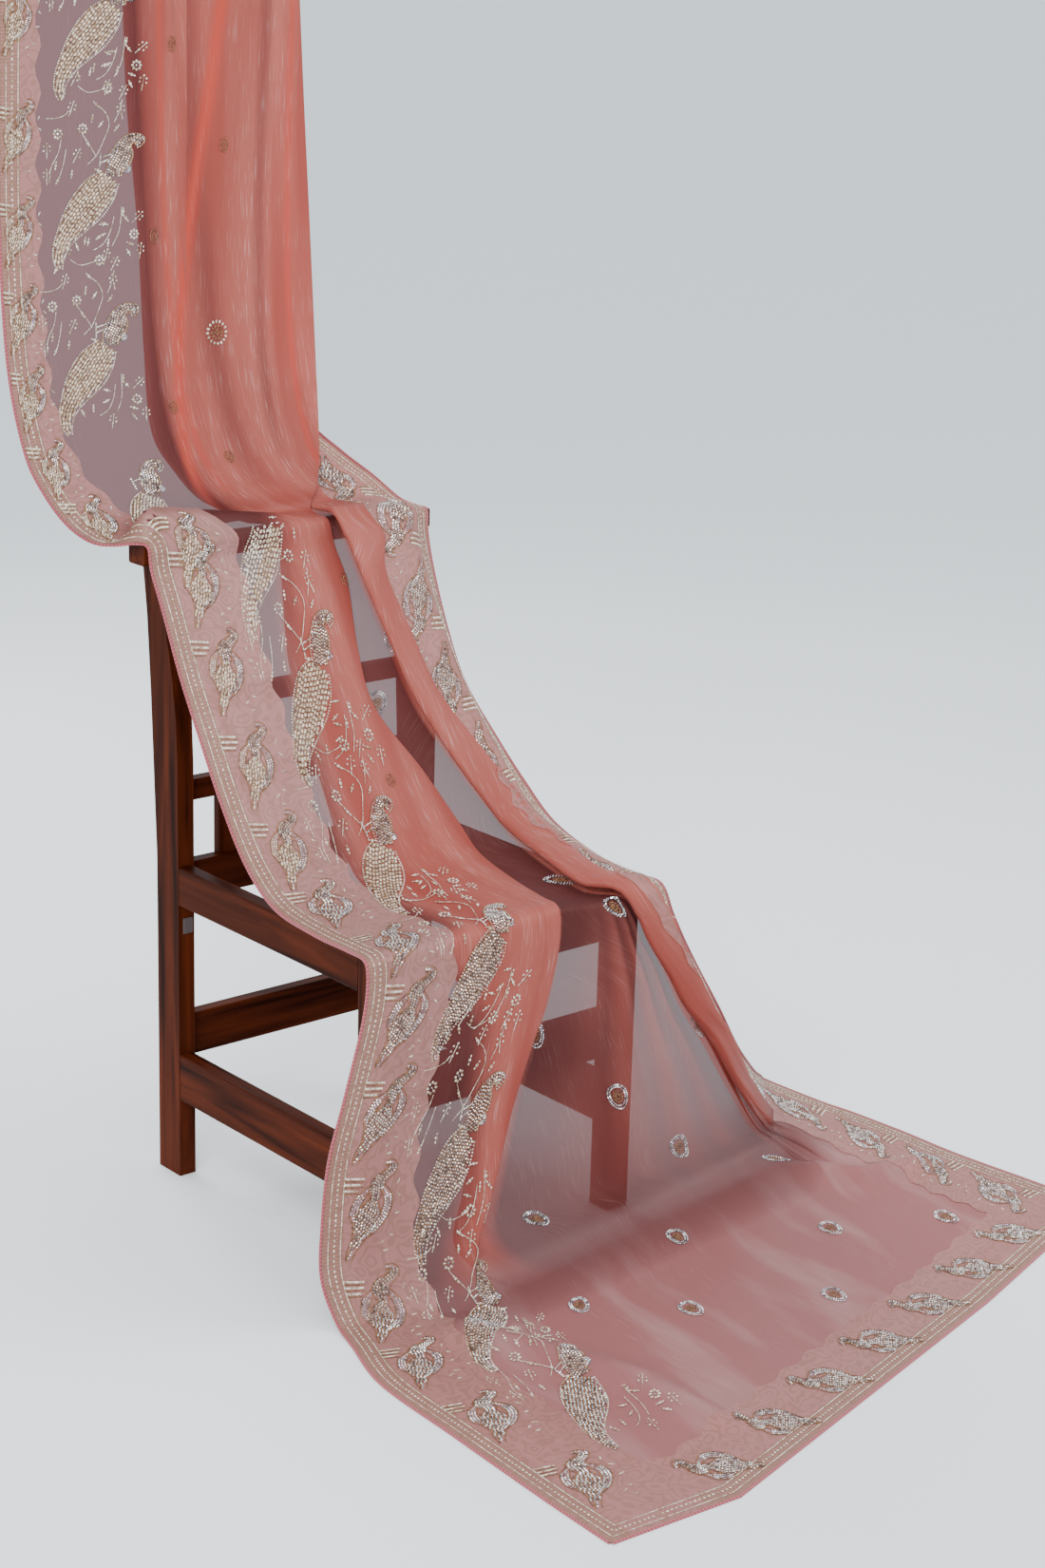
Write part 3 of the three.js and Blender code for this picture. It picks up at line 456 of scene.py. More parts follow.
def down_strips(tree, table):
    """The strongest of some soft-edged strips that run down the cloth."""
    across, along = cloth_place(tree)
    total = 0.0
    for near, far, reach, wide, strength in table:
        lean = add(tree, "Math", {0: along, 1: (far - near) / reach}, operation="MULTIPLY")
        centre = add(tree, "Math", {0: lean, 1: near}, operation="ADD")
        off = add(tree, "Math", {0: across, 1: centre}, operation="SUBTRACT")
        away = add(tree, "Math", {0: off}, operation="ABSOLUTE")
        inside = add(tree, "MapRange", {0: away, 1: wide, 2: 0.0}, interpolation_type="SMOOTHSTEP")
        fade = add(tree, "MapRange", {0: along, 1: reach, 2: reach - STRIP_FADE, 4: strength})
        strip = add(tree, "Math", {0: inside, 1: fade}, operation="MULTIPLY")
        total = add(tree, "Math", {0: strip, 1: total}, operation="MAXIMUM")
    return total


organza, tree = new_material("organza_salmon")
colour = {name: srgb(value) for name, value in ORGANZA.items()}
on_floor = add(tree, "MapRange", {0: cloth_place(tree)[1], 1: ON_FLOOR[0], 2: ON_FLOOR[1]})
thick = add(tree, "Attribute", attribute_name="layers").outputs["Fac"]
thinned = add(tree, "Math", {0: thick, 1: down_strips(tree, THIN_STRIPS)}, operation="SUBTRACT")
layers = add(tree, "Math", {0: thinned, 1: 0.0}, operation="MAXIMUM")
redness = down_strips(tree, RED_FOLDS)

# Glints: painted highlights, short bright streaks, more of them where layers lie together and on the broad
# folds painted as lit
fine = add(tree, "MapRange", {0: cloth_noise(tree, 430, 22, 3), 1: 0.55, 2: 0.78})
fold_light_and_shade = add(tree, "MapRange", {0: cloth_noise(tree, 14, 1.2, 2), 1: 0.40, 2: 0.64})
in_layers = add(tree, "Math", {0: layers, 1: 0.4}, operation="MULTIPLY")
anywhere = add(tree, "Math", {0: in_layers, 1: 0.15}, operation="ADD")
on_folds = add(tree, "Math", {0: fold_light_and_shade, 1: anywhere}, operation="MULTIPLY")
glints = add(tree, "Math", {0: fine, 1: on_folds}, operation="MULTIPLY")

# Tones from the single layer up: salmon layers, painted lighter on broad lit folds and deeper in their
# painted shade, the cloth on the floor painted a lighter, duller pink for the light on it, with a painted
# pale sheen, the redder folds, and the glints as painted highlights
salmon = add(tree, "Mix", {0: fold_light_and_shade, 6: colour["deep"], 7: colour["layered"]}, data_type="RGBA")
tone = add(tree, "Mix", {0: layers, 6: colour["single"], 7: salmon}, data_type="RGBA")
# Where the cloth lies on the floor its colour is painted a lighter, duller pink: painted light
painted_floor_light = add(tree, "Math", {0: on_floor, 1: 0.85}, operation="MULTIPLY")
tone = add(tree, "Mix", {0: painted_floor_light, 6: tone, 7: colour["floor"]}, data_type="RGBA")
# A painted sheen: pale streaks painted on the cloth on the floor
shine = add(tree, "MapRange", {0: cloth_noise(tree, 15, 2.2, 4), 1: 0.50, 2: 0.74, 4: 0.5})
shining = add(tree, "Math", {0: on_floor, 1: shine}, operation="MULTIPLY")
for share, name in ((shining, "shine"), (redness, "red"), (glints, "glint")):
    tone = add(tree, "Mix", {0: share, 6: tone, 7: colour[name]}, data_type="RGBA")

# Fine creases and the weave. Real threads lie closer than a render shows, so they are drawn coarser.
folds = add(tree, "Bump", {"Strength": 0.6, "Distance": 0.009, "Height": cloth_noise(tree, 13, 2.6, 2)})
crease = add(tree, "Bump", {"Strength": 0.35, "Distance": 0.002, "Height": cloth_noise(tree, 26, 5, 5),
                            "Normal": folds})
weave = add(tree, "Bump", {"Strength": 0.12, "Distance": 0.0004, "Height": cloth_noise(tree, 900, 60, 1),
                           "Normal": crease})
silk = add(tree, "BsdfPrincipled", {
    "Base Color": tone, "Roughness": 0.4, "Sheen Weight": 0.16, "Sheen Roughness": 0.35,
    "Sheen Tint": srgb(0xFFD9D2), "Anisotropic": 0.6, "Specular IOR Level": 0.32, "Normal": weave})
glow = add(tree, "BsdfTranslucent", {"Color": tone, "Normal": crease})
body = add(tree, "MixShader", {0: 0.35, 1: silk, 2: glow})
clear = add(tree, "BsdfTransparent", {"Color": colour["through"]})
doubled = add(tree, "Math", {0: on_floor, 1: redness}, operation="MAXIMUM")
denser = add(tree, "Math", {0: layers, 1: doubled}, operation="MAXIMUM")
hiding = add(tree, "Math", {0: denser, 1: 0.34}, operation="MULTIPLY")
bright = add(tree, "Math", {0: glints, 1: 0.4}, operation="MULTIPLY")
least = add(tree, "Math", {0: bright, 1: 0.38}, operation="ADD")
cover = add(tree, "Math", {0: hiding, 1: least}, operation="ADD")
add(tree, "OutputMaterial", {0: add(tree, "MixShader", {0: cover, 1: clear, 2: body})})

columns = cloth.shape[1]
place_on_cloth = np.stack([across_cloth, np.repeat(along_cloth[:, None], columns, 1)], -1).reshape(-1, 2)
saree = grid_piece("saree_cloth", cloth, organza, maps=place_on_cloth, layers=layered)
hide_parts("saree_drop", "saree_fall", "saree_front", "saree_floor")


# Borders: woven bands of dusty pink tissue, a cloth with metal thread in it that gives a soft sheen. They
# are sewn on along both selvedges and the saree's end, and have an outer strip of gold zari lines, fine
# woven scrolls all over and a wavy inner edge.
END_BAND = 114
TISSUE = dict(pink=0xE6A8A2, deep=0xD08A84, scroll=0x9C7658, zari=0x9E7C5C, through=0xC8A09C)
SCROLL_RINGS = 44
ZARI_STRIP = 28
ZARI_PITCH = 4.2
BAND_LIFT = 0.9
BAND_WAVE = (4.5, 58)
BAND_POINTS = 15


def band_material(name, sideways):
    """Tissue with its zari strip beside the cloth's edge. sideways is true along a selvedge, and false
    where the band crosses the cloth."""
    material, tree = new_material(name)
    across, along = cloth_place(tree) if sideways else cloth_place(tree)[::-1]
    colour = {name: srgb(value) for name, value in TISSUE.items()}
    on_band = add(tree, "Math", {0: across, 1: 0.0}, operation="GREATER_THAN")
    by_edge = add(tree, "Math", {0: across, 1: ZARI_STRIP / 1000}, operation="LESS_THAN")
    strip = add(tree, "Math", {0: on_band, 1: by_edge}, operation="MULTIPLY")
    turn = add(tree, "Math", {0: along, 1: 2000 * math.pi / ZARI_PITCH}, operation="MULTIPLY")
    wave = add(tree, "Math", {0: turn}, operation="SINE")
    crest = add(tree, "Math", {0: wave, 1: 0.1}, operation="GREATER_THAN")
    lines = add(tree, "Math", {0: strip, 1: crest}, operation="MULTIPLY")
    streak = cloth_noise(tree, *((60, 3) if sideways else (3, 60)), 4)
    pink = add(tree, "Mix", {0: streak, 6: colour["deep"], 7: colour["pink"]}, data_type="RGBA")
    ringed = add(tree, "Math", {0: cloth_noise(tree, 34, 34, 1), 1: SCROLL_RINGS}, operation="MULTIPLY")
    rings = add(tree, "Math", {0: ringed}, operation="SINE")
    scrolls = add(tree, "MapRange", {0: rings, 1: 0.1, 2: 0.6})
    faint = add(tree, "Math", {0: scrolls, 1: 0.3}, operation="MULTIPLY")
    figured = add(tree, "Mix", {0: faint, 6: pink, 7: colour["scroll"]}, data_type="RGBA")
    golden = add(tree, "Math", {0: lines, 1: 0.85}, operation="MULTIPLY")
    tone = add(tree, "Mix", {0: golden, 6: figured, 7: colour["zari"]}, data_type="RGBA")
    woven = add(tree, "Math", {0: scrolls, 1: 0.8}, operation="MULTIPLY")
    raised = add(tree, "Math", {0: lines, 1: woven}, operation="MAXIMUM")
    bump = add(tree, "Bump", {"Strength": 0.3, "Distance": 0.0006, "Height": raised})
    sheen = add(tree, "BsdfPrincipled", {
        "Base Color": tone, "Roughness": 0.4, "Metallic": 0.15, "Sheen Weight": 0.3,
        "Sheen Tint": srgb(0xFFE6DC), "Normal": bump})
    glow = add(tree, "BsdfTranslucent", {"Color": tone})
    body = add(tree, "MixShader", {0: 0.3, 1: sheen, 2: glow})
    clear = add(tree, "BsdfTransparent", {"Color": colour["through"]})
    closer = add(tree, "Math", {0: lines, 1: 0.2}, operation="MULTIPLY")
    cover = add(tree, "Math", {0: closer, 1: 0.66}, operation="ADD")
    add(tree, "OutputMaterial", {0: add(tree, "MixShader", {0: cover, 1: clear, 2: body})})
    return material


# The cloth on an even grid: columns at shares of its width, for what is sewn on it
COLUMN_STEP = 3
flat_columns = np.arange(0, SAREE_WIDTH + 1, COLUMN_STEP)
widths = across_cloth[:, -1]
laid = np.array([walk(row, flat_columns / SAREE_WIDTH * wide) for row, wide in zip(cloth, widths)])
laid_normals = normals_of(laid)
laid_across = unit(np.gradient(laid, axis=1))
run_down = distances_along(laid)
station_rows = np.arange(len(stations))


def lay(u, t, x, y):
    """Places x to the right and y down the cloth from the point at width u and table row t, with the
    cloth's normals and its ways across there."""
    column = np.clip((u + np.asarray(x, float)) / COLUMN_STEP, 0, len(flat_columns) - 1.001)
    home = int(np.clip(u / COLUMN_STEP, 0, len(flat_columns) - 1))
    start = np.interp(np.interp(t, stations, station_rows), station_rows, run_down[:, home])
    row = np.interp(start + np.asarray(y, float), run_down[:, home], station_rows)
    row = np.clip(row, 0, len(stations) - 1.001)
    i, j = row.astype(int), column.astype(int)
    a, b = (row - i)[..., None], (column - j)[..., None]
    return [(g[i, j] * (1 - a) * (1 - b) + g[i + 1, j] * a * (1 - b) + g[i, j + 1] * (1 - a) * b
             + g[i + 1, j + 1] * a * b) for g in (laid, laid_normals, laid_across)]


def wave_at(distance):
    height, pitch = BAND_WAVE
    return height * np.sin(2 * math.pi * distance / pitch)


# The left border's edge turns away in the drop: the width that shows, by table row
BAND_SHOWN = [(0, 52), (3.3, 56), (5, 76), (6.5, 104), (8, SIDE_BAND)]


def band_shown(t):
    return np.interp(t, *zip(*BAND_SHOWN))


def band_grid(side):
    """Rows of points for a side band, lifted off the cloth, and their places on the flat cloth."""
    grid, maps = [], []
    for t, row, normal, wide, down in zip(stations, cloth, normals, widths, along_cloth):
        inner = (band_shown(t) if side == "left" else SIDE_BAND) + wave_at(down)
        from_edge = np.linspace(0, inner, BAND_POINTS)
        distance = from_edge if side == "left" else wide - from_edge[::-1]
        both = walk(row, distance, normal)
        grid.append(both[:, :3] + both[:, 3:] * BAND_LIFT)
        across = distance if side == "left" else wide - distance
        maps.append(np.stack([across, np.full(BAND_POINTS, down)], 1))
    return np.array(grid), np.concatenate(maps)


side_tissue = band_material("tissue_zari_side", True)
for side in ("left", "right"):
    grid, maps = band_grid(side)
    band = grid_piece("border_" + side, grid, side_tissue, maps=maps)
    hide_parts(*["border_" + side + "_" + part for part in ("drop", "fall", "front", "floor")])

# The end band crosses the cloth between the side bands, its zari strip at the very end
END_LAP = 7
END_LIFT = 0.7
END_POINTS = (12, 120)
x = np.linspace(-END_LAP, SAREE_WIDTH - 2 * SIDE_BAND + END_LAP, END_POINTS[1])
grid, maps = [], []
for inward in np.linspace(END_BAND, 0, END_POINTS[0]):
    wave = wave_at(x) * (inward == END_BAND)
    point, normal, _ = lay(SIDE_BAND, LAST, x, -(inward + wave))
    grid.append(point + normal * END_LIFT)
    maps.append(np.stack([x, np.full(len(x), inward)], 1))
end_tissue = band_material("tissue_zari_end", False)
end_band = grid_piece("border_end", np.array(grid), end_tissue, maps=np.concatenate(maps))
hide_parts("border_end_floor")

# Embroidery: beads and short satin stitches raised on the cloth, and fine couched threads between
# them. Motifs are drawn in millimetres, x towards the right selvedge and y down the cloth.
SEWN_LIFT = 1.3
THREAD_RISE = 0.5
THREAD_STEP = 7
CURVE_POINTS = 7
SILVER, CREAM, GOLD = "silver", "cream", "gold"
grain_lists = {SILVER: [], CREAM: [], GOLD: []}
thread_lists = {SILVER: [], CREAM: [], GOLD: []}


def put(home, points):
    """Motif points, stretched and turned as home says and laid on the cloth, and which of them to keep."""
    points = np.asarray(points, float)
    turn = math.radians(home.get("turn", 0))
    x = points[:, 0] * home.get("size", 1) * home.get("wide", 1)
    y = points[:, 1] * home.get("size", 1) * home.get("tall", 1)
    x, y = x * math.cos(turn) - y * math.sin(turn), x * math.sin(turn) + y * math.cos(turn)
    keep = (y >= home.get("from_y", -math.inf)) & (y <= home.get("to_y", math.inf))
    return lay(home["u"], home["t"], x, y), keep


def beads(kind, home, line, pitch, length, width, phase=0.5):
    """Grains at a pitch along a line of the motif, each lying along it."""
    line = np.asarray(line, float)
    total = length_of(line)
    count = max(1, round(total / pitch))
    centres = (np.arange(count) + phase) * total / count
    tips = [put(home, walk(line, np.clip(centres + end * length / 2, 0, total))) for end in (-1, 1)]
    (a, n, across), keep = tips[0]
    b = tips[1][0][0]
    middle, along = (a + b) / 2, b - a
    size = home.get("size", 1)
    short = np.linalg.norm(along, axis=1, keepdims=True) < 1e-3
    along = unit(np.where(short, across, along)) * length * size / 2
    side = unit(np.cross(n, along)) * width * size / 2
    foot = middle + n * SEWN_LIFT
    grain_lists[kind].append(np.stack([
        foot + along, foot + along * 0.4 + side, foot - along * 0.4 + side, foot - along,
        foot - along * 0.4 - side, foot + along * 0.4 - side, foot + n * width * 0.45 * size], 1)[keep])


def thread(kind, home, line, width=1.1):
    """A couched thread along a line of the motif."""
    line = np.asarray(line, float)
    total = length_of(line)
    points = walk(line, np.linspace(0, total, max(2, math.ceil(total / THREAD_STEP) + 1)))
    (p, n, _), keep = put(home, points)
    if not keep.all():
        return
    side = unit(np.cross(n, np.gradient(p, axis=0))) * width / 2
    foot = p + n * SEWN_LIFT
    thread_lists[kind].append(np.stack([foot - side, foot + n * THREAD_RISE, foot + side], 1))


def curve(*points):
    """A smooth line through a few points."""
    p = np.array([points[0], *points, points[-1]], float)
    s = np.linspace(0, 1, CURVE_POINTS)[:, None]
    parts = [0.5 * (2 * b + (c - a) * s + (2 * a - 5 * b + 4 * c - d) * s * s
                    + (3 * b - a - 3 * c + d) * s ** 3) for a, b, c, d in zip(p, p[1:], p[2:], p[3:])]
    return np.concatenate(parts)


def beside(spine, offset, wave=0.0, pitch=14.0):
    """A wavy line at an offset beside a spine whose rows are x, y and half width."""
    centre = spine[:, :2]
    way = unit(np.gradient(centre, axis=0) + 1e-9)
    side = np.stack([-way[:, 1], way[:, 0]], 1)
    run = distances_along(centre)
    ripple = wave * np.sin(2 * math.pi * run / pitch + 0.3 * np.mean(offset))
    return centre + side * (offset + ripple)[:, None]


def outline(kind, home, spine, width):
    """A couched thread down both sides of a spine's shape."""
    for side in (-1, 1):
        thread(kind, home, beside(spine, side * (spine[:, 2] + 1.6)), width)


def fill(kind, home, spine, across, pitch, length, width, wave=0.0, backing=0.0):
    """Rows of grains side by side along a spine, each kept inside the shape, with gold thread between."""
    most = int(spine[:, 2].max() / across)
    for k in range(-most, most + 1):
        inside = abs(k) * across <= spine[:, 2]
        line = beside(spine, k * across, wave)
        if inside.sum() > 2:
            beads(kind, home, line[inside], pitch, length, width, 0.25 + 0.5 * (k % 2))
            if backing:
                thread(GOLD, home, beside(spine, (k + 0.5) * across, wave)[inside], backing)


# The peacock: a neck and head packed with silver beads, and a drop of wavy rows that runs out to a tail.
# Spine rows are x, y and half width.
BIRD_BODY = curve((-4, 1, 13), (-18, 18, 22), (-34, 39, 24), (-51, 60, 19.5), (-65, 80, 13), (-74, 97, 9),
                  (-78, 116, 5.5), (-76, 130, 1.5))
BIRD_NECK = curve((0, 0, 9), (1.5, -11, 10.5), (8, -23, 14), (12, -33, 13), (13.5, -42, 9), (18, -49, 6),
                  (26, -54, 4.5), (36, -52, 4), (35, -46, 3), (29, -42, 2))
BIRD_CURL = curve((13, -7), (19, -5), (23, -10), (19, -15), (14, -13))
BIRD_FEET = [
    [(-3, -31), (-18, -27)],
    [(-6, -24), (-19, -19)],
    [(-18, -34), (-19, -12)],
]


def peacock(bead, **home):
    """bead is true where the body's rows are silver beads, false where they are cream stitches."""
    if bead:
        fill(SILVER, home, BIRD_BODY, 3.9, 3.9, 3.2, 2.7, 1.0, 2.4)
    else:
        fill(CREAM, home, BIRD_BODY, 4.1, 7.2, 6.8, 3.3, 1.1, 2.2)
    for side in (-1, 1):
        beads(CREAM, home, beside(BIRD_BODY, side * (BIRD_BODY[:, 2] + 1.5)), 3.6, 3.0, 2.3)
    fill(SILVER, home, BIRD_NECK, 3.6, 3.9, 3.0, 2.8, 0, 2.0)
    outline(GOLD, home, BIRD_NECK, 1.6)
    for side in (-1, 1):
        beads(CREAM, home, beside(BIRD_NECK, side * (BIRD_NECK[:, 2] + 1)), 3.6, 3.0, 1.6)
    for inset in (1, 0.55):
        beads(SILVER, home, BIRD_CURL * inset + np.array([18, -10]) * (1 - inset), 3.2, 2.8, 2.8)
    for line in BIRD_FEET:
        thread(CREAM, home, line, 1.3)
        beads(SILVER, home, line, 4.5, 2.6, 2.6)


# The border's small bird: a beaded head and back, a crescent of beads at its right, and slanting rows
PAISLEY_BACK = curve((9, -33, 1.5), (16, -31, 3), (17, -23, 4.2), (8, -17, 6), (-1, -10, 8), (-1.5, 0, 7),
                     (-3, 11, 3.5))
PAISLEY_CRESCENT = curve((6, -4, 2), (13, 10, 3.2), (12, 25, 3.8), (4, 40, 3.5), (-6, 49, 3), (-18, 56, 2))
PAISLEY_LOOP = curve((-7, -9, 1), (-18, 0, 3), (-24, 12, 3), (-26, 24, 3), (-25, 34, 1))
PAISLEY_WING = curve((-3, 10, 4), (-8, 20, 11.5), (-11, 32, 14), (-15, 44, 11), (-20, 55, 6), (-27, 70, 3.2),
                     (-30, 80, 1.5))


def paisley(bead, **home):
    """bead is true where silver beads fill the wing too."""
    fill(SILVER, home, PAISLEY_BACK, 3.3, 3.6, 2.9, 2.7, 0, 1.8)
    fill(SILVER, home, PAISLEY_CRESCENT, 3.0, 3.6, 2.9, 2.6)
    fill(SILVER if bead else CREAM, home, PAISLEY_LOOP, 2.9, 3.7, 3.0, 2.4)
    for shape in (PAISLEY_BACK, PAISLEY_CRESCENT, PAISLEY_LOOP, PAISLEY_WING):
        outline(GOLD, home, shape, 1.5)
    if bead:
        fill(SILVER, home, PAISLEY_WING, 3.6, 4.0, 3.3, 2.6, 1.2, 2.0)
    else:
        fill(CREAM, home, PAISLEY_WING, 3.8, 6.4, 6.0, 3.0, 1.3, 1.8)


# Beside each border bird: three thick bars that start at the selvedge's lines, and small sprigs
BARS = [[(-50, -26), (-22, -21)], [(-50, -18), (-24, -14)], [(-49, -10), (-30, -7)]]
BORDER_SPRIGS = [(10, 66, 30), (22, 60, -20), (30, 34, 10), (32, -6, 60), (14, 78, 0), (34, 12, -40)]


def bars(**home):
    for line in BARS:
        thread(CREAM, home, line, 2.6)
        thread(GOLD, home, np.add(line, (0, 3.4)), 1.6)
    for x, y, turn in BORDER_SPRIGS:
        leaf(CREAM, home, x, y, turn, 7)


def leaf(kind, home, x, y, turn, length=10):
    """A pointed leaf: one broad grain between two small ones."""
    way = np.array([math.cos(math.radians(turn)), -math.sin(math.radians(turn))])
    middle = np.array([x, y])
    beads(kind, home, [middle - way, middle + way], 9, length * 0.5, length * 0.36)
    for end in (-1, 1):
        tip = middle + end * way * length * 0.4
        beads(kind, home, [tip - way, tip + way], 9, length * 0.36, length * 0.2)


def spokes(count):
    angles = [2 * math.pi * k / count for k in range(count)]
    return [np.array([math.cos(w), math.sin(w)]) for w in angles]


def ring_flower(home, x, y, radius=8):
    for way in spokes(8):
        beads(CREAM, home, np.add((x, y), [way * radius * 0.45, way * radius]), 9, 4.6, 3.4)
    beads(SILVER, home, [(x - 1, y), (x + 1, y)], 9, 3, 3)


def sprig(home, x, y, turn):
    """Six round beads about the end of a short stem."""
    w = math.radians(turn)
    along, side = np.array([math.cos(w), -math.sin(w)]), np.array([math.sin(w), math.cos(w)])
    for a, b in ((8, 0), (4, 4.5), (4, -4.5), (-2, 5), (-2, -5), (-6, 0)):
        at = np.array([x, y]) + along * a + side * b
        beads(CREAM, home, [at - 1, at + 1], 9, 3.0, 2.9)
    thread(CREAM, home, [(x, y) - along * 14, (x, y) + along * 6], 0.9)


# The vine between two peacocks, about the lower one's shoulder: leaves with their turn in degrees
VINE_LEAVES = [
    (-10, -175, 0), (-17, -157, 30), (-39, -153, 80), (-2, -148, 80), (-35, -102, -45), (-41, -82, 80),
    (-27, -74, 50), (-2, -68, 50), (-48, -48, -60), (-31, -9, -20), (-98, -18, 80), (-73, -5, 80),
    (-95, 3, 60), (-87, -114, 60), (8, 51, 80), (12, 61, -50), (-21, 67, -20), (-25, 83, 20), (17, 97, -20),
    (15, 110, -60), (-48, 92, 80), (-66, 98, -70),
]
VINE_FLOWERS = [(-17, -124), (-56, -68), (-95, -62), (24, 84)]
VINE_SPRIGS = [
    (-68, -140, 60), (-73, -99, 70), (8, -120, 60), (4, -94, 100), (-64, -33, 60), (-112, -41, 90),
    (-112, -5, 90), (32, 58, 40), (34, 106, 80), (-20, 112, 70),
]
VINE_STEMS = [
    curve((-64, -128), (-50, -119), (-36, -120), (-24, -123)),
    curve((-35, -102), (-20, -90), (-14, -72), (-24, -48), (-34, -30), (-48, -18)),
    curve((-114, -84), (-98, -84), (-84, -88), (-78, -94)),
    curve((-90, -54), (-94, -36), (-106, -14), (-108, 6)),
    curve((-82, -40), (-86, -20), (-92, -2)),
    curve((-56, -60), (-44, -44), (-34, -28)),
    curve((6, 44), (4, 64), (0, 82), (-10, 100)),
    curve((-6, 58), (-12, 78), (-24, 96), (-40, 104)),
    curve((6, -108), (2, -92), (-6, -76)),
]


def vine(**home):
    for x, y, turn in VINE_LEAVES:
        leaf(CREAM, home, x, y, turn, 11)
    for x, y in VINE_FLOWERS:
        ring_flower(home, x, y)
    for x, y, turn in VINE_SPRIGS:
        sprig(home, x, y, turn)
    for line in VINE_STEMS:
        thread(CREAM, home, line, 0.9)


def butti(**home):
    """A drop outlined by two rows of silver beads, with a gold middle."""
    w = np.linspace(0, 2 * math.pi, 33)
    drop = np.stack([15 * np.sin(w), -19 * np.cos(w) + 4 * np.cos(w) ** 2], 1)
    for inset in (1, 0.78):
        beads(SILVER, home, drop * inset, 3.4, 2.8, 2.7)
    for inset in (0.46, 0.26, 0.08):
        beads(GOLD, home, drop * inset + (0, 2), 4.2, 4, 2.6)


def round_flower(**home):
    for radius, count, kind in ((15, 16, CREAM), (8.5, 10, GOLD), (3, 4, GOLD)):
        for way in spokes(count):
            beads(kind, home, [way * (radius - 2.5), way * (radius + 2.5)], 9, 5, 3.2)


def small_drop(**home):
    w = np.linspace(0, 2 * math.pi, 17)
    for inset in (1, 0.5):
        beads(GOLD, home, np.stack([6 * np.sin(w), -9 * np.cos(w)], 1) * inset, 3.4, 3, 2)


# Peacocks down the left side: width on the cloth, table row, size, breadth and tallness. The two at the
# rail are cut off by the cloth's fold there, and have no vine.
PEACOCKS = [
    (166, 0.50, 0.92, 1.15, 0.95),
    (163, 1.60, 0.92, 1.15, 0.95),
    (150, 2.90, 0.92, 1.15, 0.95),
    (150, 5.40, 0.95, 1.0, 1.0),
    (200, 8.75, 1.0, 1.0, 1.2),
    (212, 12.15, 1.0, 1.0, 1.25),
    (208, 15.20, 1.0, 1.0, 1.2),
    (206, 19.45, 1.0, 1.0, 1.15),
    (214, 24.10, 1.0, 1.0, 1.2),
    (214, 27.60, 1.0, 1.0, 1.15),
    (214, 29.75, 1.0, 1.0, 1.15),
]
BEADED_FROM = 16
CUT_OFF = {5.40: dict(to_y=80), 8.75: dict(from_y=0)}
RAIL_ROW = 8
for u, t, size, wide, tall in PEACOCKS:
    peacock(t > BEADED_FROM, u=u, t=t, size=size, wide=wide, tall=tall, **CUT_OFF.get(t, {}))
for u, t, size, wide, tall in PEACOCKS:
    if t not in CUT_OFF:
        hanging = t < RAIL_ROW
        vine(u=u + (6 if hanging else 16), t=t, size=size if hanging else 1.0, tall=tall)

# Border birds: table rows down the left selvedge, and then down the right one, where they are turned
# round
LEFT_BIRDS = [0.50, 1.19, 1.88, 2.53, 3.23, 4.22, 5.67, 8.60, 10.10, 11.78, 13.30, 14.67, 16.11, 17.88, 20.80,
              23.10, 24.60, 26.62, 28.60, 29.75, 30.80]
BIRD_PLACE = 0.56
for t in LEFT_BIRDS:
    u = band_shown(t) * BIRD_PLACE
    size = 0.76 if t < 5 else 0.85 if t < RAIL_ROW else 1.0
    paisley(t > BEADED_FROM, u=u, t=t, size=size, wide=1.3 if t > BEADED_FROM else 1.08)
    bars(u=u, t=t, size=size)
RIGHT_BIRDS = 1064
RIGHT_PITCH = 124
right_run = run_down[:, int(RIGHT_BIRDS / COLUMN_STEP)]
for at in np.arange(90, right_run[-1] - 60, RIGHT_PITCH):
    t = float(np.interp(at, right_run, stations))
    paisley(True, u=RIGHT_BIRDS, t=t, size=1.0, wide=1.3, turn=180)
    bars(u=RIGHT_BIRDS, t=t, size=1.0, turn=180)

# Along both selvedges and the end: two couched lines with a row of stitches between them
EDGE_LINES = (8, 25)
EDGE_ROW = 16.5


def edge_line(edge, distance):
    """A home and a line of the motif at a distance from an edge."""
    if edge == "end":
        return dict(u=0, t=LAST), [(distance, -distance), (SAREE_WIDTH - distance, -distance)]
    u = distance if edge == "left" else SAREE_WIDTH - distance
    return dict(u=u, t=0), [(0, 2), (0, run_down[-1, int(u / COLUMN_STEP)] - distance)]


for edge in ("left", "right", "end"):
    for distance in EDGE_LINES:
        thread(CREAM, *edge_line(edge, distance), 1.3)
    beads(CREAM, *edge_line(edge, EDGE_ROW), 6.5, 4.2, 2.8)

# End band: the same birds lying across it
END_ROW, END_PITCH = 31.35, 128
for u in np.arange(190, SAREE_WIDTH - 150, END_PITCH):
    paisley(True, u=u, t=END_ROW, size=0.92, wide=1.3, turn=-75)

# Sprinkled over the single layer: buttis, then a round flower and small drops on the upper cloth
BUTTIS = [
    (792, 19.40), (486, 22.62), (591, 24.30), (690, 25.67), (396, 26.00), (558, 28.00), (780, 29.43),
    (950, 30.60), (456, 29.57), (642, 30.50), (850, 27.40), (330, 28.60), (567, 11.89), (516, 12.88),
    (786, 14.78), (900, 12.60), (620, 9.60), (700, 17.40), (520, 16.30), (900, 21.20), (780, 23.40),
    (560, 6.50), (700, 4.20), (600, 2.10), (820, 1.10), (900, 3.30), (480, 0.60), (500, 3.60),
]
for u, t in BUTTIS:
    butti(u=u, t=t)
round_flower(u=315, t=2.87)
SMALL_DROPS = [(252, 0.72), (222, 2.07), (232, 3.62), (300, 4.60), (330, 1.40), (290, 10.90), (262, 14.10)]
for u, t in SMALL_DROPS:
    small_drop(u=u, t=t)


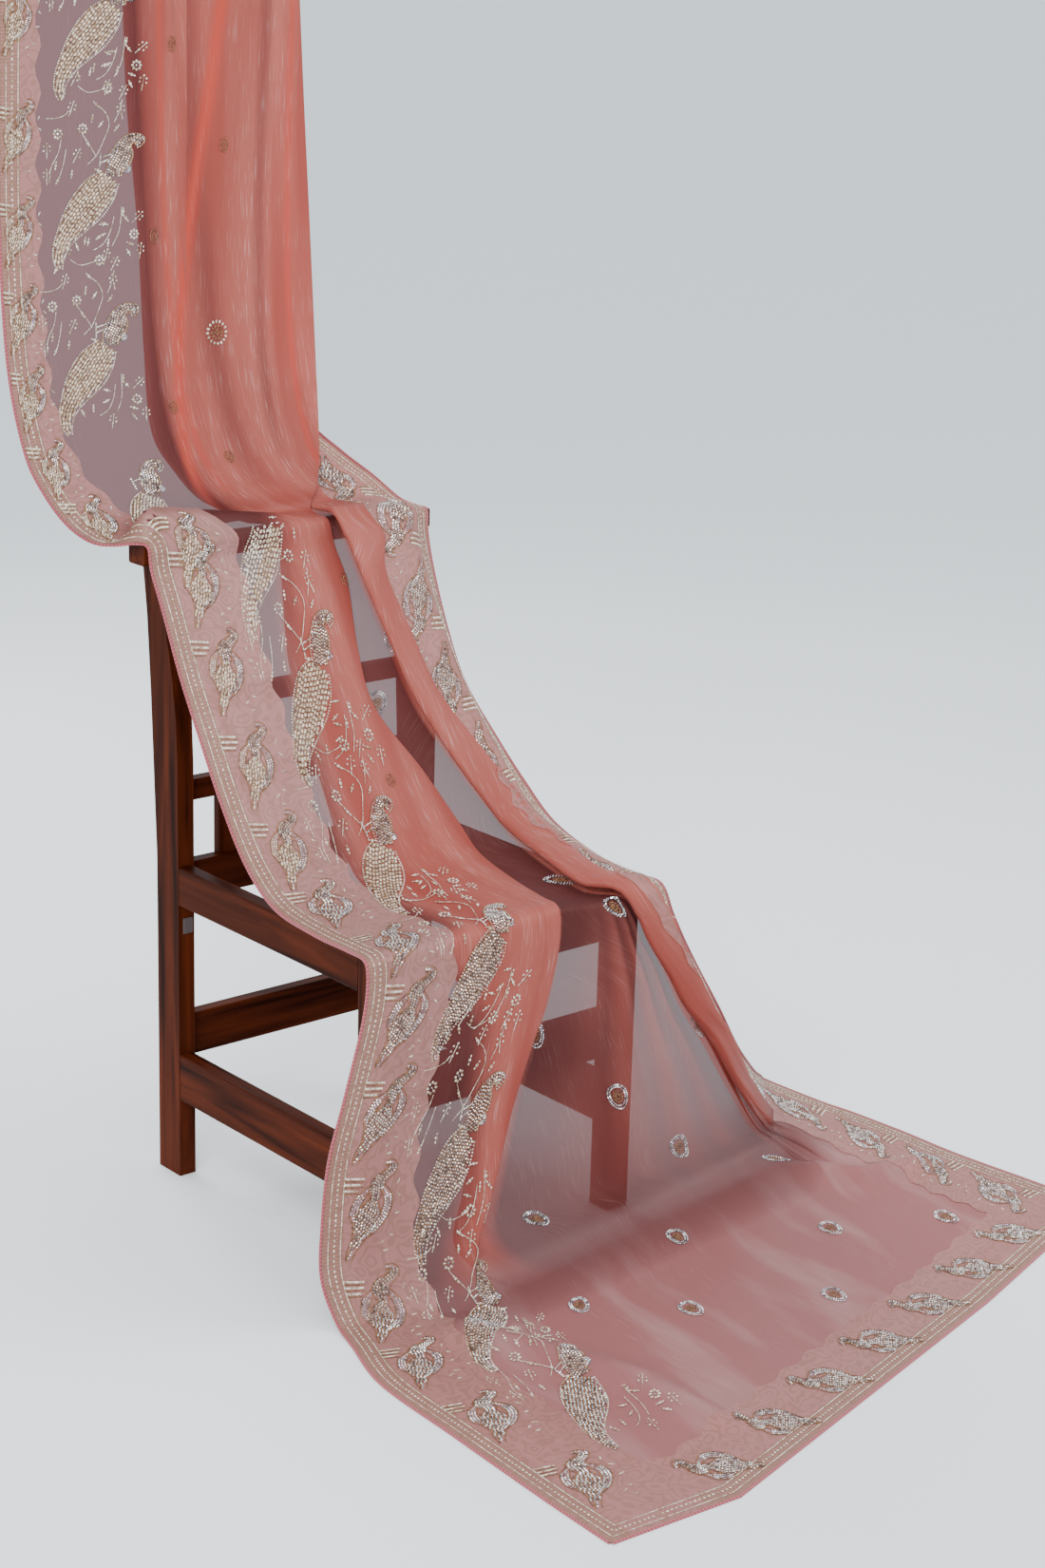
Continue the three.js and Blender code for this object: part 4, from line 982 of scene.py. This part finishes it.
# What is sewn on: silver-lined glass beads, cream silk stitches and old-gold thread, each grain lighter or
# darker than the next. On the silver beads, from near black to white, this is painted sparkle: painted
# reflections in place of the light that the glass catches.
GRAIN_SIZE = 0.0032


def sewn_material(name, dark, light, metallic, roughness):
    material, tree = new_material(name)
    place = add(tree, "TexCoord").outputs["Object"]
    cells = add(tree, "TexVoronoi", {"Vector": place, "Scale": 1 / GRAIN_SIZE})
    each = add(tree, "SeparateColor", {0: cells.outputs["Color"]}).outputs[0]
    tone = add(tree, "Mix", {0: each, 6: srgb(dark), 7: srgb(light)}, data_type="RGBA")
    surface = {"Base Color": tone, "Metallic": metallic, "Roughness": roughness}
    add(tree, "OutputMaterial", {0: add(tree, "BsdfPrincipled", surface)})
    return material


SEWN = {
    # Silver beads: their dark and light tones from grain to grain are painted sparkle
    SILVER: ("silver_glass_beads", 0x3E3A3E, 0xFFFFFF, 0.7, 0.2),
    CREAM: ("cream_silk_stitches", 0x94785A, 0xF4EAD8, 0.1, 0.4),
    GOLD: ("old_gold_thread", 0x5A3826, 0x9A6C48, 0.25, 0.45),
}
for kind, settings in SEWN.items():
    material = sewn_material(*settings)
    grains = np.concatenate(grain_lists[kind])
    first = np.arange(len(grains))[:, None, None] * grains.shape[1]
    sides = np.array([[k, (k + 1) % 6, 6] for k in range(6)])
    piece = mesh_piece("embroidery_" + kind, grains.reshape(-1, 3), (first + sides).reshape(-1, 3), material,
                       flat=True)
    if thread_lists[kind]:
        counts = [len(strip) for strip in thread_lists[kind]]
        starts = np.concatenate([[0], np.cumsum(counts)[:-1]]) * 3
        faces = np.concatenate([start + grid_faces(count, 3) for start, count in zip(starts, counts)])
        strips = np.concatenate(thread_lists[kind]).reshape(-1, 3)
        piece = mesh_piece("threads_" + kind, strips, faces, material)

# Piping: a rose cotton cord, 4 mm thick, sewn along both selvedges and the end. It holds the bands' outer
# edge and follows each fold of the cloth. Its twisted strands are raised by a bump, and painted light and
# shade turn with them: rose on each strand's crown, darker rose as painted shade between strands.
PIPING = dict(radius=1.9, gap=1.9, twist=5, colour=0xB9545C, dark=0x8F3A44)
cord, tree = new_material("rose_piping_cord")
around, along = cloth_place(tree)
lengthwise = add(tree, "Math", {0: along, 1: 2000 * math.pi / PIPING["twist"]}, operation="MULTIPLY")
about = add(tree, "Math", {0: around, 1: 2000 * math.pi}, operation="MULTIPLY")
twist = add(tree, "Math", {0: lengthwise, 1: about}, operation="ADD")
strands = add(tree, "Math", {0: twist}, operation="SINE")
bump = add(tree, "Bump", {"Strength": 0.6, "Distance": 0.0006, "Height": strands})
# Painted light and shade on the strands: rose on their crowns, darker rose in the grooves between them
above_zero = add(tree, "Math", {0: strands, 1: 1.0}, operation="ADD")
lit = add(tree, "Math", {0: above_zero, 1: 0.5}, operation="MULTIPLY")
tone = add(tree, "Mix", {0: lit, 6: srgb(PIPING["dark"]), 7: srgb(PIPING["colour"])}, data_type="RGBA")
cotton = add(tree, "BsdfPrincipled", {"Base Color": tone, "Roughness": 0.5, "Sheen Weight": 0.2,
                                      "Normal": bump})
add(tree, "OutputMaterial", {0: cotton})


def tube(name, line, normal, outward, sides=8):
    """A cord of round section beside an edge."""
    centre = line + outward * PIPING["gap"]
    angles = 2 * math.pi * np.arange(sides + 1) / sides
    ring = outward[:, None] * np.cos(angles)[:, None] + normal[:, None] * np.sin(angles)[:, None]
    ring *= PIPING["radius"]
    grid = centre[:, None] + ring
    run = distances_along(line)[:, None]
    maps = np.stack(np.broadcast_arrays(angles / (2 * math.pi), run), -1).reshape(-1, 2)
    return grid_piece(name, grid, cord, maps=maps)


EDGES = {"left": (cloth[:, 0], normals[:, 0]), "right": (cloth[:, -1], normals[:, -1]),
         "end": (cloth[-1], normals[-1])}
inner_cloth = cloth[:, columns // 4].mean(0)
for name, (line, normal) in EDGES.items():
    outward = unit(np.cross(unit(np.gradient(line, axis=0)), normal))
    middle = len(line) // 2
    if outward[middle] @ (line[middle] - inner_cloth) < 0:
        outward = -outward
    piece = tube("cord_" + name, line, normal, outward)
    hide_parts("piping_" + name)

# The rest of the saree, folded over and over above the drop: eight layers of organza lie together, and
# each layer's edge is a soft round fold. So many layers let nothing through, and look even and dense.
CORNER_POINTS = 7
LAYER_POINTS = 6
FOLDED = dict(low=1641, high=2010, left=-178, right=268, front=90, layers=8, pitch=4.4, corner=16)
dense, tree = new_material("organza_folded_layers")
lengthwise = add(tree, "Mapping", {"Vector": add(tree, "TexCoord").outputs["Object"], "Scale": (60, 60, 4)})
streak = add(tree, "TexNoise", {"Vector": lengthwise, "Scale": 1.0, "Detail": 4.0})
tone = add(tree, "Mix", {0: streak, 6: srgb(0xC05A50), 7: srgb(0xDC7C70)}, data_type="RGBA")
silk = add(tree, "BsdfPrincipled", {"Base Color": tone, "Roughness": 0.42, "Sheen Weight": 0.35,
                                    "Sheen Tint": srgb(0xFFD9D2)})
add(tree, "OutputMaterial", {0: silk})


def rounded_ring(inset, y):
    """A ring with round corners, at a depth y of the folded layers."""
    low, high = FOLDED["low"] + inset, FOLDED["high"] - inset
    left, right = FOLDED["left"] + inset, FOLDED["right"] - inset
    r = FOLDED["corner"]
    ring = []
    for x, z, start in ((right - r, low + r, -90), (right - r, high - r, 0),
                        (left + r, high - r, 90), (left + r, low + r, 180)):
        w = np.radians(start + np.linspace(0, 90, CORNER_POINTS))
        ring.append(np.stack([x + r * np.cos(w), np.full(CORNER_POINTS, y), z + r * np.sin(w)], 1))
    ring = np.concatenate(ring)
    return np.concatenate([ring, ring[:1]])


def closed_over(ring):
    """Rings that close the flat side of the folded layers."""
    middle = ring[:-1].mean(0)
    return [middle + (ring - middle) * share for share in (0.66, 0.33, 0.001)]


rings = []
for k in range(FOLDED["layers"]):
    y = FOLDED["front"] + k * FOLDED["pitch"]
    shares = np.linspace(0, 1, LAYER_POINTS + 1)
    for share in shares if k == FOLDED["layers"] - 1 else shares[:-1]:
        inset = 2 * (k % 2) + 2.6 * (1 - math.sqrt(max(0, 1 - (2 * share - 1) ** 2)))
        rings.append(rounded_ring(inset, y + share * FOLDED["pitch"]))
rings = np.array([*closed_over(rings[0])[::-1], *rings, *closed_over(rings[-1])])
folded = grid_piece("saree_folded", rings, dense)
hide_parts("saree_folded_rest")

# The chair: wooden posts, legs, rails and slats joined square, under a dark reddish-brown varnish with a
# soft gloss that lets the grain show along each board. A small dull steel bracket sits under the seat's
# side rail.
WOOD = dict(dark=0x220B05, light=0x582512)


def wood_along(axis):
    material, tree = new_material("varnished_wood_" + axis)
    scale = {"x": (3, 45, 45), "y": (45, 3, 45), "z": (45, 45, 3)}[axis]
    place = add(tree, "Mapping", {"Vector": add(tree, "TexCoord").outputs["Object"], "Scale": scale})
    grain = add(tree, "TexNoise", {"Vector": place, "Scale": 1.0, "Detail": 6.0, "Distortion": 0.6})
    ramp = add(tree, "ValToRGB", {0: grain})
    ramp.color_ramp.elements[0].position = 0.35
    ramp.color_ramp.elements[0].color = srgb(WOOD["dark"])
    ramp.color_ramp.elements[1].position = 0.7
    ramp.color_ramp.elements[1].color = srgb(WOOD["light"])
    bump = add(tree, "Bump", {"Strength": 0.08, "Distance": 0.0006, "Height": grain})
    varnish = add(tree, "BsdfPrincipled", {
        "Base Color": ramp, "Roughness": 0.4, "Specular IOR Level": 0.03, "Normal": bump})
    add(tree, "OutputMaterial", {0: varnish})
    return material


def grain_axis(name):
    """Posts and legs have upright grain, side rails run front to back and the rest from side to side."""
    if any(word in name for word in ("post", "leg", "upright")):
        return "z"
    return "y" if name.endswith(("rail_left", "rail_right")) else "x"


wood = {axis: wood_along(axis) for axis in "xyz"}
steel, tree = new_material("dull_steel_bracket")
dull = add(tree, "BsdfPrincipled", {"Base Color": srgb(0x8C8C8A), "Metallic": 1.0, "Roughness": 0.42})
add(tree, "OutputMaterial", {0: dull})
for name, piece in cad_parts.items():
    if name.startswith("chair_"):
        piece.data.materials.clear()
        piece.data.materials.append(steel if name == "chair_bracket" else wood[grain_axis(name)])

# Pale floor, soft studio light from the left and above, and the camera at the photograph's angle
FLOOR_REACH = 60.0
floor_mesh = bpy.data.meshes.new("studio_floor")
floor_corners = [(x * FLOOR_REACH, y * FLOOR_REACH, 0) for x, y in ((-1, -1), (1, -1), (1, 1), (-1, 1))]
floor_mesh.from_pydata(floor_corners, [], [(0, 1, 2, 3)])
floor = bpy.data.objects.new("studio_floor", floor_mesh)
scene.collection.objects.link(floor)
paper, tree = new_material("pale_studio_floor")
matt = add(tree, "BsdfPrincipled", {"Base Color": srgb(0xF2F6F7), "Roughness": 0.85})
add(tree, "OutputMaterial", {0: matt})
floor_mesh.materials.append(paper)

world = bpy.data.worlds.new("soft_studio")
scene.world = world
world.use_nodes = True
world.node_tree.nodes["Background"].inputs[0].default_value = srgb(0xD3DADF)
world.node_tree.nodes["Background"].inputs[1].default_value = 1.75

# Light, place in the chair's metres, size in metres, power in watts
LIGHTS = [
    ("key", (-2.4, -2.2, 3.2), 1.8, 120),
    ("side", (2.6, -1.8, 2.4), 2.0, 40),
    ("back", (0.4, 2.6, 2.6), 1.6, 70),
]
LIT_POINT = (0.2, -0.3, 0.6)
for name, place, wide, power in LIGHTS:
    light = bpy.data.lights.new(name, "AREA")
    light.size = wide
    light.energy = power
    lamp = bpy.data.objects.new(name, light)
    scene.collection.objects.link(lamp)
    lamp.location = Vector(place) + Vector(corner)
    aim = Vector(LIT_POINT) + Vector(corner) - lamp.location
    lamp.rotation_euler = aim.to_track_quat("-Z", "Y").to_euler()

VIEW = dict(place=(-2.082, -3.1475, 1.7028), azimuth=-40.418, down=16.731, roll=1.590, lens=68.08)
azimuth, down, roll = (math.radians(VIEW[k]) for k in ("azimuth", "down", "roll"))
forward = Vector((-math.sin(azimuth) * math.cos(down), math.cos(azimuth) * math.cos(down), -math.sin(down)))
level = Vector((math.cos(azimuth), math.sin(azimuth), 0))
upward = level.cross(forward)
right = level * math.cos(roll) + upward * math.sin(roll)
upward = right.cross(forward)
camera_data = bpy.data.cameras.new("camera")
camera_data.lens = VIEW["lens"]
camera = bpy.data.objects.new("camera", camera_data)
scene.collection.objects.link(camera)
turn = Matrix((right, upward, -forward)).transposed().to_4x4()
camera.matrix_world = Matrix.Translation(Vector(VIEW["place"]) + Vector(corner)) @ turn
scene.camera = camera
